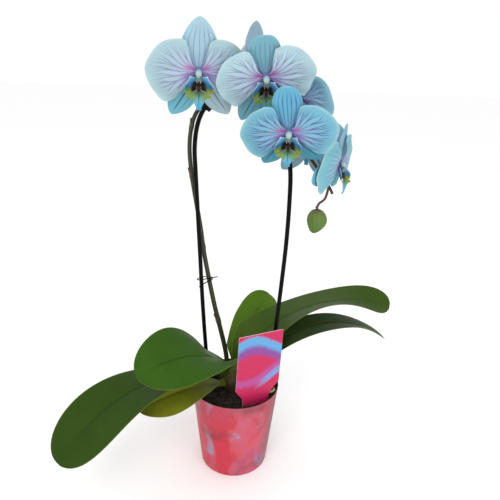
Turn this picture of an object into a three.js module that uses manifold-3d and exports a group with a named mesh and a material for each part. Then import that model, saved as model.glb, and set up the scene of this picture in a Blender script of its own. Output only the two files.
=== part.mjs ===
// A moth orchid in a tapered plastic pot: six leaves, one arching flower spike with seven
// blooms and a bud, a wire support hoop, and a plant label.
// Millimetres, +Z up. The origin is the centre of the pot's underside. +X is to the right and
// +Y is away when the plant is seen from its front.
import * as THREE from "three";
import { mergeVertices } from "three/addons/utils/BufferGeometryUtils.js";
import Module from "manifold-3d";

const wasm = await Module();
wasm.setup();

// Driving dimensions

const POT = { rimRadius: 60, baseRadius: 46.8, height: 124, wall: 1.2, floor: 1.5, sides: 44 };
const MEDIUM = { top: 114, bump: 2.4, rings: 4, spokes: 20 };
const GAP = 0.3;
const HOOP = { radius: 2.8, sides: 6, steps: 42 };
const SPIKE = { footRadius: 3.3, tipRadius: 1.7, sides: 6, steps: 48 };
const LABEL = { left: [4, -46], right: [61, -19], thickness: 0.8, foot: 96 };

// Vectors

const vec = (x, y, z) => new THREE.Vector3(x, y, z);
const radians = THREE.MathUtils.degToRad;
const lerp = THREE.MathUtils.lerp;
const clamp = THREE.MathUtils.clamp;

// Solids: closed geometry in, closed geometry out

function solidOf(geometry) {
  const bare = geometry.clone();
  bare.deleteAttribute("normal");
  bare.deleteAttribute("uv");
  const merged = mergeVertices(bare, 1e-4);
  return new wasm.Manifold(
    new wasm.Mesh({
      numProp: 3,
      vertProperties: new Float32Array(merged.attributes.position.array),
      triVerts: new Uint32Array(merged.index.array),
    }),
  );
}

function geometryOf(solid) {
  const { vertProperties, triVerts } = solid.getMesh();
  const geometry = new THREE.BufferGeometry();
  geometry.setAttribute("position", new THREE.BufferAttribute(new Float32Array(vertProperties), 3));
  geometry.setIndex(new THREE.BufferAttribute(new Uint32Array(triVerts), 1));
  geometry.computeVertexNormals();
  return geometry;
}

function fused(geometries) {
  return geometries.map(solidOf).reduce((whole, next) => whole.add(next));
}

function indexed(points, triangles) {
  const geometry = new THREE.BufferGeometry();
  geometry.setAttribute(
    "position",
    new THREE.Float32BufferAttribute(points.flatMap((p) => [p.x, p.y, p.z]), 3),
  );
  geometry.setIndex(triangles.flat());
  return geometry;
}

// A thin blade round a curved middle surface. middle(u, v) runs over u 0..1 and v -1..1, and
// thickness(u, v) is measured across it. Both faces are split into the same triangles.
function blade(rows, columns, middle, thickness, spacing = (t) => t) {
  const step = 0.01;
  const front = [];
  const back = [];
  for (let i = 0; i <= rows; i += 1) {
    for (let j = 0; j <= columns; j += 1) {
      const u = spacing(i / rows);
      const v = -1 + (2 * j) / columns;
      const [u0, u1] = [clamp(u - step, 0, 1), clamp(u + step, 0, 1)];
      const [v0, v1] = [clamp(v - step, -1, 1), clamp(v + step, -1, 1)];
      const along = middle(u1, v).sub(middle(u0, v));
      const across = middle(u, v1).sub(middle(u, v0));
      const normal = along.cross(across).normalize();
      const half = thickness(u, v) / 2;
      front.push(middle(u, v).addScaledVector(normal, half));
      back.push(middle(u, v).addScaledVector(normal, -half));
    }
  }
  const width = columns + 1;
  const shift = front.length;
  const at = (i, j) => i * width + j;
  const triangles = [];
  const bothFaces = (a, b, c) => triangles.push([a, b, c], [a + shift, c + shift, b + shift]);
  for (let i = 0; i < rows; i += 1) {
    for (let j = 0; j < columns; j += 1) {
      const [a, b, c, d] = [at(i, j), at(i + 1, j), at(i + 1, j + 1), at(i, j + 1)];
      if (j < columns / 2) {
        bothFaces(a, b, c);
        bothFaces(a, c, d);
      } else {
        bothFaces(a, b, d);
        bothFaces(b, c, d);
      }
    }
  }
  const edge = [];
  for (let i = 0; i < rows; i += 1) edge.push(at(i, 0));
  for (let j = 0; j < columns; j += 1) edge.push(at(rows, j));
  for (let i = rows; i > 0; i -= 1) edge.push(at(i, columns));
  for (let j = columns; j > 0; j -= 1) edge.push(at(0, j));
  edge.forEach((p, k) => {
    const q = edge[(k + 1) % edge.length];
    triangles.push([q, p, p + shift], [q, p + shift, q + shift]);
  });
  return indexed([...front, ...back], triangles);
}

// A closed body through rings of points, each ring counter-clockwise about the way it advances.
function loft(rings) {
  const sides = rings[0].length;
  const points = rings.flat();
  const triangles = [];
  for (let r = 0; r + 1 < rings.length; r += 1) {
    for (let k = 0; k < sides; k += 1) {
      const next = (k + 1) % sides;
      const [a, b] = [r * sides + k, r * sides + next];
      triangles.push([a, b, b + sides], [a, b + sides, a + sides]);
    }
  }
  const last = (rings.length - 1) * sides;
  const middleOf = (ring) =>
    ring.reduce((sum, p) => sum.add(p), vec(0, 0, 0)).divideScalar(sides);
  points.push(middleOf(rings[0]), middleOf(rings.at(-1)));
  for (let k = 0; k < sides; k += 1) {
    const next = (k + 1) % sides;
    triangles.push([points.length - 2, next, k], [points.length - 1, last + k, last + next]);
  }
  return indexed(points, triangles);
}

// A tube whose radius changes along a smooth curve through the given points.
function taperedTube(points, radiusAt, sides, steps) {
  const curve = new THREE.CatmullRomCurve3(points.map((p) => vec(...p)), false, "catmullrom", 0.5);
  const { normals, binormals } = curve.computeFrenetFrames(steps, false);
  const rings = [];
  for (let i = 0; i <= steps; i += 1) {
    const centre = curve.getPointAt(i / steps);
    const radius = radiusAt(i / steps);
    const ring = [];
    for (let k = 0; k < sides; k += 1) {
      const angle = (2 * Math.PI * k) / sides;
      ring.push(
        centre
          .clone()
          .addScaledVector(normals[i], radius * Math.cos(angle))
          .addScaledVector(binormals[i], radius * Math.sin(angle)),
      );
    }
    rings.push(ring);
  }
  return loft(rings);
}

// A tube of one radius along a smooth curve through the given points.
function evenTube(points, radius, sides, steps) {
  const section = new THREE.Shape();
  for (let k = 0; k < sides; k += 1) {
    const angle = (2 * Math.PI * k) / sides;
    const corner = [radius * Math.cos(angle), radius * Math.sin(angle)];
    if (k === 0) section.moveTo(...corner);
    else section.lineTo(...corner);
  }
  section.closePath();
  const path = new THREE.CatmullRomCurve3(points.map((p) => vec(...p)), false, "catmullrom", 0.5);
  return new THREE.ExtrudeGeometry(section, { steps, extrudePath: path, bevelEnabled: false });
}

// The same route with both ends lower, for the hole that it stands in.
function sunkEnds(route, depth) {
  return route.map(([x, y, z], k) => [x, y, k === 0 || k === route.length - 1 ? z - depth : z]);
}

function ellipsoid(centre, radii, around, down) {
  return new THREE.SphereGeometry(1, around, down).scale(...radii).translate(...centre);
}

// Materials

const material = (color, roughness) =>
  new THREE.MeshStandardMaterial({ color, roughness, metalness: 0 });

const POT_PRINT = material(0xcf4a6b, 0.35);
const BARK = material(0x2a1b12, 0.95);
const ROOT_SKIN = material(0x9a7d4c, 0.8);
const CROWN_GREEN = material(0x556b2a, 0.6);
const SPIKE_SKIN = material(0x3a4020, 0.5);
const BLACK_COATING = material(0x14120f, 0.25);
const LABEL_CARD = material(0xe0457f, 0.4);
const BUD_GREEN = material(0x6f9142, 0.6);

// Pot

function potGeometry() {
  const { rimRadius, baseRadius, height, wall, floor, sides } = POT;
  const footRound = 2;
  const wallSlope = (rimRadius - baseRadius) / height;
  const innerBase = baseRadius + wallSlope * floor - wall;
  const profile = [
    [0, 0],
    [baseRadius - footRound, 0],
    [baseRadius, footRound],
    [rimRadius, height],
    [rimRadius - wall, height],
    [innerBase, floor],
    [0, floor],
  ];
  return new THREE.LatheGeometry(profile.map(([r, z]) => new THREE.Vector2(r, z)), sides)
    .rotateX(Math.PI / 2);
}

// Growing medium: fills the pot to a little below its rim, with a rough top of bark pieces

function potInnerRadius(z) {
  const { rimRadius, baseRadius, height, wall } = POT;
  return lerp(baseRadius, rimRadius, z / height) - wall;
}

function barkHeight(x, y) {
  const coarse = Math.sin(x * 0.19 + 1.3) * Math.cos(y * 0.23 - 0.4);
  const fine = Math.sin(x * 0.53 - y * 0.31) * 0.6;
  return MEDIUM.top + MEDIUM.bump * (coarse + fine);
}

function mediumGeometry() {
  const { rings, spokes } = MEDIUM;
  const bottom = POT.floor + GAP;
  const ringAt = (radius, height) => {
    const ring = [];
    for (let k = 0; k < spokes; k += 1) {
      const angle = (2 * Math.PI * k) / spokes;
      const [x, y] = [radius * Math.cos(angle), radius * Math.sin(angle)];
      ring.push(vec(x, y, height ?? barkHeight(x, y)));
    }
    return ring;
  };
  const side = [
    ringAt(potInnerRadius(bottom) - GAP, bottom),
    ringAt(potInnerRadius(MEDIUM.top) - GAP - 0.4),
  ];
  for (let r = rings - 1; r > 0; r -= 1) {
    side.push(ringAt((potInnerRadius(MEDIUM.top) * r) / rings));
  }
  return loft(side);
}

// Crown: the short upright stem that carries the leaves

const CROWN = {
  centre: [-4, 5],
  sides: 10,
  rings: [
    [92, 10],
    [112, 13],
    [125, 13.2],
    [136, 9.8],
    [147, 8],
    [152, 5.5],
  ],
};

function crownGeometry(extra = 0) {
  const [x, y] = CROWN.centre;
  const { sides } = CROWN;
  const rings = CROWN.rings.map(([height, radius], level) => {
    const z = level === 0 ? height - extra : height;
    const ring = [];
    for (let k = 0; k < sides; k += 1) {
      const angle = (2 * Math.PI * k) / sides;
      const reach = radius + extra;
      ring.push(vec(x + reach * Math.cos(angle), y + reach * Math.sin(angle), z));
    }
    return ring;
  });
  return loft(rings);
}

// Leaves: each follows an arch that leaves the crown at a heading, rises and then droops.
// Angles are in degrees. roll turns the blade about its own length at foot, middle and tip.

const LEAVES = {
  leaf_left_long: {
    foot: [-12.7, -3.5, 136], heading: 211.5, turn: 5, rise: 31, droop: -55, bend: 1.05,
    length: 258, width: 84, widest: 0.65, narrow: 0.41, blunt: 2.4, roll: [28, 2, -33],
    gutter: 4, color: 0x3f5c28,
  },
  leaf_left_broad: {
    foot: [-8.2, -4.3, 148], heading: 224, turn: 2, rise: 52, droop: -12, bend: 0.96,
    length: 163, width: 85, widest: 0.52, narrow: 0.41, blunt: 2.3, roll: [28, -23, -50],
    gutter: 11, color: 0x3f7025,
  },
  leaf_left_low: {
    foot: [-13.5, -6.5, 123], heading: 207.5, turn: 6.5, rise: 18, droop: -17, bend: 0.96,
    length: 126, width: 64, widest: 0.6, narrow: 0.41, blunt: 2.2, roll: [51, -17, -18],
    gutter: 14, color: 0x77741f,
  },
  leaf_right_long: {
    foot: [0.6, 11.6, 151.4], heading: 23.3, turn: -18.4, rise: 54.5, droop: -16.4, bend: 0.88,
    length: 251, width: 78, widest: 0.55, narrow: 0.71, blunt: 2.5, roll: [59, -12, 39],
    gutter: 10, color: 0x46702b,
  },
  leaf_right_low: {
    foot: [7.9, 6.5, 140], heading: 16, turn: 3.5, rise: 46.5, droop: -42.5, bend: 1.11,
    length: 250, width: 51, widest: 0.43, narrow: 0.42, blunt: 1.75, roll: [37, 1, 6],
    gutter: 11, color: 0x35552a,
  },
  leaf_back: {
    foot: [-4.4, 16.2, 146], heading: 63.5, turn: -8.5, rise: 46, droop: 25, bend: 1,
    length: 119, width: 56, widest: 0.64, narrow: 0.39, blunt: 2.6, roll: [21, -6.5, 28],
    gutter: 12, color: 0x4c7a26,
  },
};
const LEAF_GRID = { rows: 12, columns: 6, pathSteps: 60 };
const LEAF_CLASP = { fold: 62, reach: 0.2, share: 0.4, over: 0.16 };
const LEAF_THICKNESS = { midrib: 2.4, edge: 1.1 };

function leafSurface(leaf) {
  const { pathSteps } = LEAF_GRID;
  const headingAt = (u) => radians(leaf.heading + leaf.turn * u);
  const riseAt = (u) => radians(lerp(leaf.rise, leaf.droop, u ** leaf.bend));
  const ahead = (u) =>
    vec(
      Math.cos(riseAt(u)) * Math.cos(headingAt(u)),
      Math.cos(riseAt(u)) * Math.sin(headingAt(u)),
      Math.sin(riseAt(u)),
    );
  const path = [vec(...leaf.foot)];
  for (let i = 0; i < pathSteps; i += 1) {
    const stretch = ahead((i + 0.5) / pathSteps).multiplyScalar(leaf.length / pathSteps);
    path.push(path[i].clone().add(stretch));
  }
  const pathAt = (u) => {
    const place = clamp(u, 0, 1) * pathSteps;
    const i = Math.min(Math.floor(place), pathSteps - 1);
    return path[i].clone().lerp(path[i + 1], place - i);
  };
  const halfWidth = (u) => {
    const swelling = lerp(leaf.narrow, 1, Math.sin((Math.PI / 2) * Math.min(u / leaf.widest, 1)));
    const past = clamp((u - leaf.widest) / (1 - leaf.widest), 0, 1);
    const rounding = Math.sqrt(Math.max(1 - past ** leaf.blunt, 0.0004));
    const clasp = lerp(LEAF_CLASP.share, 1, Math.min(u / LEAF_CLASP.over, 1) ** 0.7);
    return (leaf.width / 2) * clasp * (u < leaf.widest ? swelling : rounding);
  };
  const rollAt = (u) => {
    const [foot, middle, tip] = leaf.roll;
    return radians(foot * (1 - u) * (1 - 2 * u) + middle * 4 * u * (1 - u) + tip * u * (2 * u - 1));
  };
  const foldAt = (u) => {
    const clasp = Math.max(1 - u / LEAF_CLASP.reach, 0) ** 1.5;
    return radians(lerp(leaf.gutter, LEAF_CLASP.fold, clasp));
  };
  return (u, v) => {
    const forward = ahead(u);
    const level = vec(-Math.sin(headingAt(u)), Math.cos(headingAt(u)), 0);
    const up = forward.clone().cross(level);
    const across = level.multiplyScalar(Math.cos(rollAt(u))).addScaledVector(up, Math.sin(rollAt(u)));
    const outward = forward.clone().cross(across);
    const reach = halfWidth(u);
    return pathAt(u)
      .addScaledVector(across, v * reach * Math.cos(foldAt(u)))
      .addScaledVector(outward, Math.abs(v) ** 1.3 * reach * Math.sin(foldAt(u)));
  };
}

function leafGeometry(leaf) {
  const { midrib, edge } = LEAF_THICKNESS;
  const thickness = (u, v) => lerp(midrib, edge, Math.max(v * v, u ** 4));
  const closerAtTheTip = (t) => 1 - (1 - t) ** 1.35;
  return blade(LEAF_GRID.rows, LEAF_GRID.columns, leafSurface(leaf), thickness, closerAtTheTip);
}

// Support hoop: one bent wire, both legs deep in the medium

const HOOP_ROUTE = [
  [-38, 12, 22],
  [-38, 12, 110],
  [-42.5, 11, 171],
  [-47, 11, 243],
  [-51, 11, 330],
  [-55, 11, 414],
  [-56, 11, 448],
  [-52, 11, 475],
  [-43, 10, 494],
  [-28, 8, 508],
  [-9, 6, 512],
  [9, 6, 506],
  [24, 4, 494],
  [41, 1, 475],
  [54, -4, 449],
  [59, -8, 425],
  [60, -9, 388],
  [59, -10, 337],
  [56, -10, 282],
  [51.5, -10, 212],
  [46, -10, 110],
  [43, -9, 22],
];

const hoopGeometry = (extra = 0) =>
  evenTube(sunkEnds(HOOP_ROUTE, extra), HOOP.radius + extra, HOOP.sides, HOOP.steps);

// Flower spike: rises beside the crown, passes behind the hoop's left leg and arches to the right

const SPIKE_ROUTE = [
  [-12.1, 13.8, 141],
  [-16, 15, 168],
  [-26, 17, 211],
  [-33, 18, 241],
  [-45, 19, 305],
  [-50, 20, 342],
  [-56, 20, 379],
  [-61, 19, 413],
  [-63, 18, 447],
  [-59, 17, 475],
  [-50, 16, 493],
  [-34, 15, 512],
  [-13, 13, 522],
  [11, 11, 519],
  [34, 9, 501],
  [54, 7, 473],
  [74, 5, 446],
  [81, 6, 440.5],
  [92.6, 9, 426.2],
  [109, 12, 403.5],
  [114, 12, 394.5],
];
const SPIKE_NODES = [0.12, 0.3, 0.46, 0.56];

function spikeRadius(t) {
  const taper = lerp(SPIKE.footRadius, SPIKE.tipRadius, t ** 1.4);
  const swell = SPIKE_NODES.reduce((sum, at) => sum + Math.exp(-(((t - at) / 0.008) ** 2)), 0);
  return taper * (1 + 0.22 * swell);
}

// Blooms. Each has its own frame: x to the bloom's right, y up and z out of its face.
// yaw turns the face from the front towards +X, nod tips it down, roll turns it in its own face.
// petals tilts and sweep sends back the left and the right petal, and low is how far down both
// spread. dorsal is the length, width and heading of the upper sepal, how far out it is fullest and
// how pointed it is. lower, drop, reach and broad are the headings, the forward tip, the lengths and
// the width of the two lower sepals.

const POINTED = [1.08, 0.62];
const BLUNT = [1.35, 0.42];

const BLOOMS = {
  bloom_1: {
    at: [-47.7, -19, 533.2], yaw: 6, nod: 18, roll: 0, size: 1, sweep: [0, 0], petals: [0, 0],
    low: 54, dorsal: [53.2, 40.4, 88, 0.75, 0.62], lower: [-58.5, -56], drop: 0, reach: [59, 59], broad: 30,
  },
  bloom_2: {
    at: [11.6, 47, 538.3], yaw: 127, nod: 10, roll: 0, size: 0.93, sweep: [-12, -10],
    petals: [-10, -12],
    low: 46, dorsal: [53.2, 37.4, 90, ...POINTED], lower: [-70, -60], drop: 0, reach: [48, 48], broad: 30,
  },
  bloom_3: {
    at: [25.5, -25, 530], yaw: 7, nod: 27, roll: 3, size: 0.95, sweep: [0, 0], petals: [-12, 7],
    low: 46, dorsal: [43.8, 36, 94, ...BLUNT], lower: [-66, -52], drop: 0, reach: [64, 64], broad: 28,
  },
  bloom_4: {
    at: [68.6, 28.8, 505.3], yaw: 138.5, nod: -3.4, roll: 2, size: 0.87, sweep: [0, 0],
    petals: [-8.3, -8],
    low: 42, dorsal: [46, 32, 90, ...POINTED], lower: [-60, -35], drop: 0, reach: [48, 48], broad: 30,
  },
  bloom_5: {
    at: [51.8, -52, 475.8], yaw: -4, nod: 23, roll: 0, size: 0.92, sweep: [0, 0],
    petals: [-11, 3],
    low: 46, dorsal: [51.6, 34.2, 96, ...BLUNT], lower: [-58.4, -44], drop: 0, reach: [54, 54], broad: 28,
  },
  bloom_6: {
    at: [83.7, 26.6, 457.6], yaw: 176.4, nod: 7, roll: 5.5, size: 0.83, sweep: [0, 0],
    petals: [-5, 0],
    low: 46, dorsal: [40, 30, 90, ...POINTED], lower: [-60, -53], drop: 0, reach: [57, 57], broad: 29,
  },
  bloom_7: {
    at: [117, 1, 434.7], yaw: 59, nod: 7.6, roll: -2.4, size: 0.91, sweep: [0, 4],
    petals: [-12, 6],
    low: 46, dorsal: [50.5, 20, 70, ...POINTED], lower: [-15, -50], drop: 0, reach: [62, 42], broad: 35,
  },
};

function bloomMatrix(bloom) {
  const yaw = radians(bloom.yaw);
  const nod = radians(bloom.nod);
  const face = vec(Math.cos(nod) * Math.sin(yaw), -Math.cos(nod) * Math.cos(yaw), -Math.sin(nod));
  const right = vec(Math.cos(yaw), Math.sin(yaw), 0);
  const up = face.clone().cross(right);
  const turn = new THREE.Matrix4().makeRotationZ(radians(bloom.roll));
  return new THREE.Matrix4()
    .makeBasis(right, up, face)
    .multiply(turn)
    .scale(vec(bloom.size, bloom.size, bloom.size))
    .setPosition(...bloom.at);
}

const PETAL = {
  length: 55.5, root: [3, 1, 1.6], curl: 3.5, neck: 0.79, rows: 4, columns: 10,
  upper: { spread: 72.7, full: 1.3, fall: 0.75, edge: 0.6 },
  lower: { full: 9, fall: 1, edge: 0.72 },
};
const SEPAL = { rows: 5, columns: 4, lateral: [1.1, 0.62] };
const TEPAL_THICKNESS = 0.9;

// Petal: a fan about its root, with straight inner edges that run out to its rounded corners.
// side is 1 for the right petal and -1 for the left one.
function petalSurface(side, tilt, sweep, low) {
  const [rootX, rootY, rootZ] = PETAL.root;
  const [flat, back] = [Math.cos(radians(sweep)), Math.sin(radians(sweep))];
  return (u, v) => {
    const turn = v * (1.3 - 0.3 * v * v);
    const half = turn > 0 ? PETAL.upper : PETAL.lower;
    const angle = radians((half.spread ?? low) * turn);
    const fan = angle * lerp(PETAL.neck, 1, Math.min(u / 0.5, 1));
    const point = 1 - 0.05 * (1 - Math.exp(-((angle / 0.25) ** 2)));
    const corner = Math.max(1 - Math.abs(turn) ** half.full, 0) ** half.fall;
    const reach = PETAL.length * point * lerp(half.edge, 1, corner) * lerp(0.05, 1, u);
    const heading = fan + radians(tilt);
    const wave = -1.3 * Math.cos(2.2 * fan) * u * u;
    const curl = PETAL.curl * u ** 2.2;
    const crown = 3.2 * Math.sin(Math.PI * Math.min(u * 1.15, 1));
    const foot = (1 - u) ** 6;
    return vec(
      side * (rootX - 2.4 * foot + reach * Math.cos(heading) * flat),
      rootY + reach * Math.sin(heading),
      rootZ - 0.8 * foot + crown - curl + wave - reach * Math.max(Math.cos(heading), 0) * back,
    );
  };
}

// Sepal: a long oval about its own axis, behind the petals, its tip leaning back.
function sepalSurface(length, width, heading, fullest, pointed, lean) {
  const along = vec(Math.cos(radians(heading)), Math.sin(radians(heading)), 0);
  const across = vec(-along.y, along.x, 0);
  return (u, v) => {
    const reach = 2 + length * u;
    const oval = Math.sin(Math.PI * clamp(u, 0.02, 0.997) ** fullest) ** pointed;
    const half = (width / 2) * oval;
    const back = reach * Math.sin(radians(lean)) + 5 * u * u + 2.2 * v * v * oval;
    return vec(0, 0, -2 - back)
      .addScaledVector(along, reach * Math.cos(radians(lean)))
      .addScaledVector(across, v * half);
  };
}

const COLUMN = [
  [[0, 0.5, -2], 3.4],
  [[0, 1.3, 3], 2.8],
  [[0, -0.2, 7], 3.7],
  [[0, -1.5, 9.6], 3],
  [[0, -2.7, 10.8], 1.4],
];

function columnGeometry() {
  const sides = 5;
  const rings = COLUMN.map(([[x, y, z], radius]) => {
    const ring = [];
    for (let k = 0; k < sides; k += 1) {
      const angle = (2 * Math.PI * k) / sides;
      ring.push(vec(x + radius * Math.cos(angle), y + radius * Math.sin(angle), z));
    }
    return ring;
  });
  return loft(rings);
}

function bloomGeometry(bloom) {
  const even = () => TEPAL_THICKNESS;
  const rounder = (t) => 1 - (1 - t) ** 1.3;
  const petal = (...shape) => blade(PETAL.rows, PETAL.columns, petalSurface(...shape), even, rounder);
  const sepal = (...shape) => blade(SEPAL.rows, SEPAL.columns, sepalSurface(...shape), even, rounder);
  const [leftReach, rightReach] = bloom.reach;
  const lateral = (heading, reach) =>
    sepal(reach, bloom.broad, heading, ...SEPAL.lateral, -bloom.drop);
  const [leftTilt, rightTilt] = bloom.petals;
  const [leftSweep, rightSweep] = bloom.sweep;
  const [leftHeading, rightHeading] = bloom.lower;
  const hub = ellipsoid([0, 0, -1], [5.2, 5.2, 3.6], 7, 4);
  return geometryOf(
    fused([
      hub,
      petal(1, rightTilt, rightSweep, bloom.low),
      petal(-1, leftTilt, leftSweep, bloom.low),
      sepal(...bloom.dorsal, 0),
      lateral(rightHeading, rightReach),
      lateral(180 - leftHeading, leftReach),
      columnGeometry(),
    ]),
  );
}

// Lip: a middle lobe with two round shoulders and a narrow tip, and an upright wing on each side,
// cupped towards the column

const LIP = { root: -13, tip: -38, neck: 3, shoulder: 14, shoulderAt: 0.34, tongue: 9.5 };
const WING = { top: -2.8, fall: 17.2, inner: 10, swell: 6.5, tuck: 2, height: 6, rise: 8, cup: 2.2 };

function lipMiddle(u, v) {
  const bell = Math.exp(-(((u - LIP.shoulderAt) / 0.13) ** 2));
  const shoulders = lerp(LIP.neck, LIP.shoulder, bell);
  const tongue = 1.3 + LIP.tongue * (1 - clamp((u - 0.3) / 0.7, 0, 1) ** 0.8);
  const half = u > LIP.shoulderAt ? Math.max(shoulders, tongue) : shoulders;
  const cupped = 3 * bell * v * v;
  return vec(v * half, lerp(LIP.root, LIP.tip, u), 9 + 6 * Math.sin(u * 2.2) + cupped);
}

function lipSide(side) {
  return (u, v) => {
    const t = (v + 1) / 2;
    const share = u ** 0.9;
    const bulge = THREE.MathUtils.smoothstep(t, 0, 0.65);
    const x = lerp(3.2, WING.inner + WING.swell * bulge - WING.tuck * t ** 3, share);
    const y = lerp(-5 - 12 * t, WING.top - WING.fall * t, share);
    const rim = WING.height + WING.rise * Math.sin((Math.PI / 2) * Math.min(1.3 * t, 1));
    const cup = WING.cup * Math.sin(Math.PI * u) * Math.sin(Math.PI * t);
    return vec(side * x, y, lerp(3.2 + 4.8 * t, rim, share) - cup);
  };
}

// The throat joins the lobes and reaches back to the foot of the column.
const THROAT = [
  [-4, 2.6, 2.1],
  [-9, 4.1, 2.8],
  [-14, 6.5, 4.6],
  [-18, 9.5, 3],
];

function throatGeometry() {
  const rings = THROAT.map(([y, z, half]) => [
    vec(-half, y, z),
    vec(0, y - 1.6, z - 1.6),
    vec(half, y, z),
    vec(0, y + 1.6, z + 1.6),
  ]);
  return loft(rings);
}

function lipGeometry() {
  const even = () => 0.9;
  return geometryOf(
    fused([
      throatGeometry(),
      blade(8, 2, lipMiddle, even),
      blade(2, 5, lipSide(1), even),
      blade(2, 5, lipSide(-1), even),
    ]),
  );
}

// Flower stalks: each leaves the spike and ends just behind the heart of its bloom

const STALKS = {
  bloom_1: [[-52, 16, 490], [-53, 13, 510]],
  bloom_2: [[-9, 13, 522], [-5, 20, 531]],
  bloom_3: [[13, 11, 518], [20, 4, 530]],
  bloom_4: [[34, 9, 501], [46, 12, 503]],
  bloom_5: [[56, 7, 470], [57, -12, 479]],
  bloom_6: [[76, 5, 445], [84, 8, 450]],
  bloom_7: [[95, 9.4, 423], [100, 14, 431]],
};
const BUD_STALK = [[109, 12, 403.5], [105, 8, 389.5], [97.5, 3, 384], [94.4, 0, 378.6]];
const STALK = { radius: 1.5, sides: 5, steps: 5, bend: -14, end: -5 };

const stemGeometry = (extra = 0) =>
  taperedTube(SPIKE_ROUTE, (t) => spikeRadius(t) + extra, SPIKE.sides, SPIKE.steps);

function stalkGeometry(route) {
  const radiusAt = (t) => STALK.radius * lerp(1.1, 0.95, t);
  return taperedTube(route, radiusAt, STALK.sides, STALK.steps);
}

function stalkTo(name) {
  const where = bloomMatrix(BLOOMS[name]);
  const behind = (z) => vec(0, 0, z).applyMatrix4(where).toArray();
  return stalkGeometry([...STALKS[name], behind(STALK.bend), behind(STALK.end)]);
}

function spikeGeometry() {
  const stalks = Object.keys(STALKS).map(stalkTo);
  return geometryOf(fused([stemGeometry(), stalkGeometry(BUD_STALK), ...stalks]));
}

// Bud: a closed egg that hangs from the last stalk

// The bud narrows by point towards its lower end, which leans to the left by lean.
const BUD = { centre: [96, 0, 362.5], radii: [12.6, 11.5, 15.3], point: 0.14, lean: 4.5 };

function budGeometry() {
  const bud = ellipsoid([0, 0, 0], [1, 1, 1], 12, 9).rotateX(Math.PI / 2).scale(...BUD.radii);
  const points = bud.getAttribute("position");
  for (let i = 0; i < points.count; i += 1) {
    const low = Math.max(-points.getZ(i) / BUD.radii[2], 0) ** 2;
    const narrow = 1 - BUD.point * low;
    points.setX(i, points.getX(i) * narrow - BUD.lean * low);
    points.setY(i, points.getY(i) * narrow);
  }
  return bud.rotateY(radians(-8)).translate(...BUD.centre);
}

// Twist tie: a thin wire round the spike and the hoop's left leg, its ends standing out in front

const TIE = {
  centre: [-44.1, 14.9],
  radius: 0.7,
  halfLength: 11.3,
  halfWidth: 6.1,
  heading: 39,
  height: 275.5,
  climb: -4.5,
  points: 14,
};

function tieGeometry() {
  const route = [
    [-27, 8, TIE.height + 4],
    [-34, 9, TIE.height + 1.8],
  ];
  for (let k = 0; k <= TIE.points; k += 1) {
    const angle = radians(-90 - (360 * k) / TIE.points);
    const [along, across] = [TIE.halfLength * Math.cos(angle), TIE.halfWidth * Math.sin(angle)];
    const [c, s] = [Math.cos(radians(TIE.heading)), Math.sin(radians(TIE.heading))];
    route.push([
      TIE.centre[0] + along * c - across * s,
      TIE.centre[1] + along * s + across * c,
      TIE.height + (TIE.climb * k) / TIE.points,
    ]);
  }
  route.push([-46, 8, TIE.height - 7.5], [-51, 6.5, TIE.height - 11]);
  return evenTube(route, TIE.radius, 5, 34);
}

// Stem clip: a small clasp with a thumb tab, closed round the spike and the hoop near the top

const CLIP = { at: [-43.6, 13.2, 497], halfLength: 8.2, halfWidth: 5, depth: 7, tab: [5, 4, 5] };

function clipGeometry() {
  const straight = CLIP.halfLength - CLIP.halfWidth;
  const outline = new THREE.Shape();
  outline.moveTo(-straight, -CLIP.halfWidth);
  outline.absarc(straight, 0, CLIP.halfWidth, -Math.PI / 2, Math.PI / 2, false);
  outline.absarc(-straight, 0, CLIP.halfWidth, Math.PI / 2, (3 * Math.PI) / 2, false);
  const body = new THREE.ExtrudeGeometry(outline, {
    depth: CLIP.depth,
    bevelEnabled: false,
    curveSegments: 5,
  }).translate(0, 0, -CLIP.depth / 2);
  const tab = new THREE.BoxGeometry(...CLIP.tab).translate(CLIP.halfLength + 1, 1, 0);
  const alongStems = vec(1, 0, 1).normalize();
  const towardsHoop = vec(3.5, -6.1, -3.5).normalize();
  const place = new THREE.Matrix4()
    .makeBasis(towardsHoop, alongStems.clone().cross(towardsHoop), alongStems)
    .setPosition(...CLIP.at);
  const clasp = geometryOf(fused([body, tab])).applyMatrix4(place);
  return geometryOf(
    solidOf(clasp).subtract(solidOf(hoopGeometry(GAP))).subtract(solidOf(stemGeometry(GAP))),
  );
}

// Plant label: a flat card on a stem, upright in the medium, its corners cut towards the stem

const LABEL_OUTLINE = [
  [-31, 220],
  [-34, 140],
  [-24.5, 127],
  [-22.5, LABEL.foot],
  [13, LABEL.foot],
  [15.2, 128],
  [28.7, 142],
  [32, 220],
];

function labelGeometry(extra = 0) {
  const [x0, y0] = LABEL.left;
  const [x1, y1] = LABEL.right;
  const corners = LABEL_OUTLINE.map(([u, z]) => {
    const foot = z === LABEL.foot ? z - extra : z;
    return new THREE.Vector2(u + Math.sign(u) * extra, foot);
  });
  const card = new THREE.Shape(corners);
  const depth = LABEL.thickness + 2 * extra;
  return new THREE.ExtrudeGeometry(card, { depth, bevelEnabled: false })
    .translate(0, 0, -depth / 2)
    .rotateX(Math.PI / 2)
    .rotateZ(Math.atan2(y1 - y0, x1 - x0))
    .translate((x0 + x1) / 2, (y0 + y1) / 2, 0);
}

// Aerial root: a loop over the medium at the right, both ends in it

const ROOT_ROUTE = [
  [36, -15, 102],
  [37, -17, 118],
  [43, -20, 122.5],
  [49, -20.5, 123.5],
  [53.5, -15.5, 123.5],
  [53, -9, 121],
  [51, -4, 115],
  [50, -3, 102],
];

const rootGeometry = (extra = 0) => evenTube(sunkEnds(ROOT_ROUTE, extra), 1.7 + extra, 6, 20);

// Assembly

const plant = new THREE.Group();
plant.name = "moth_orchid_in_pot";

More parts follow.
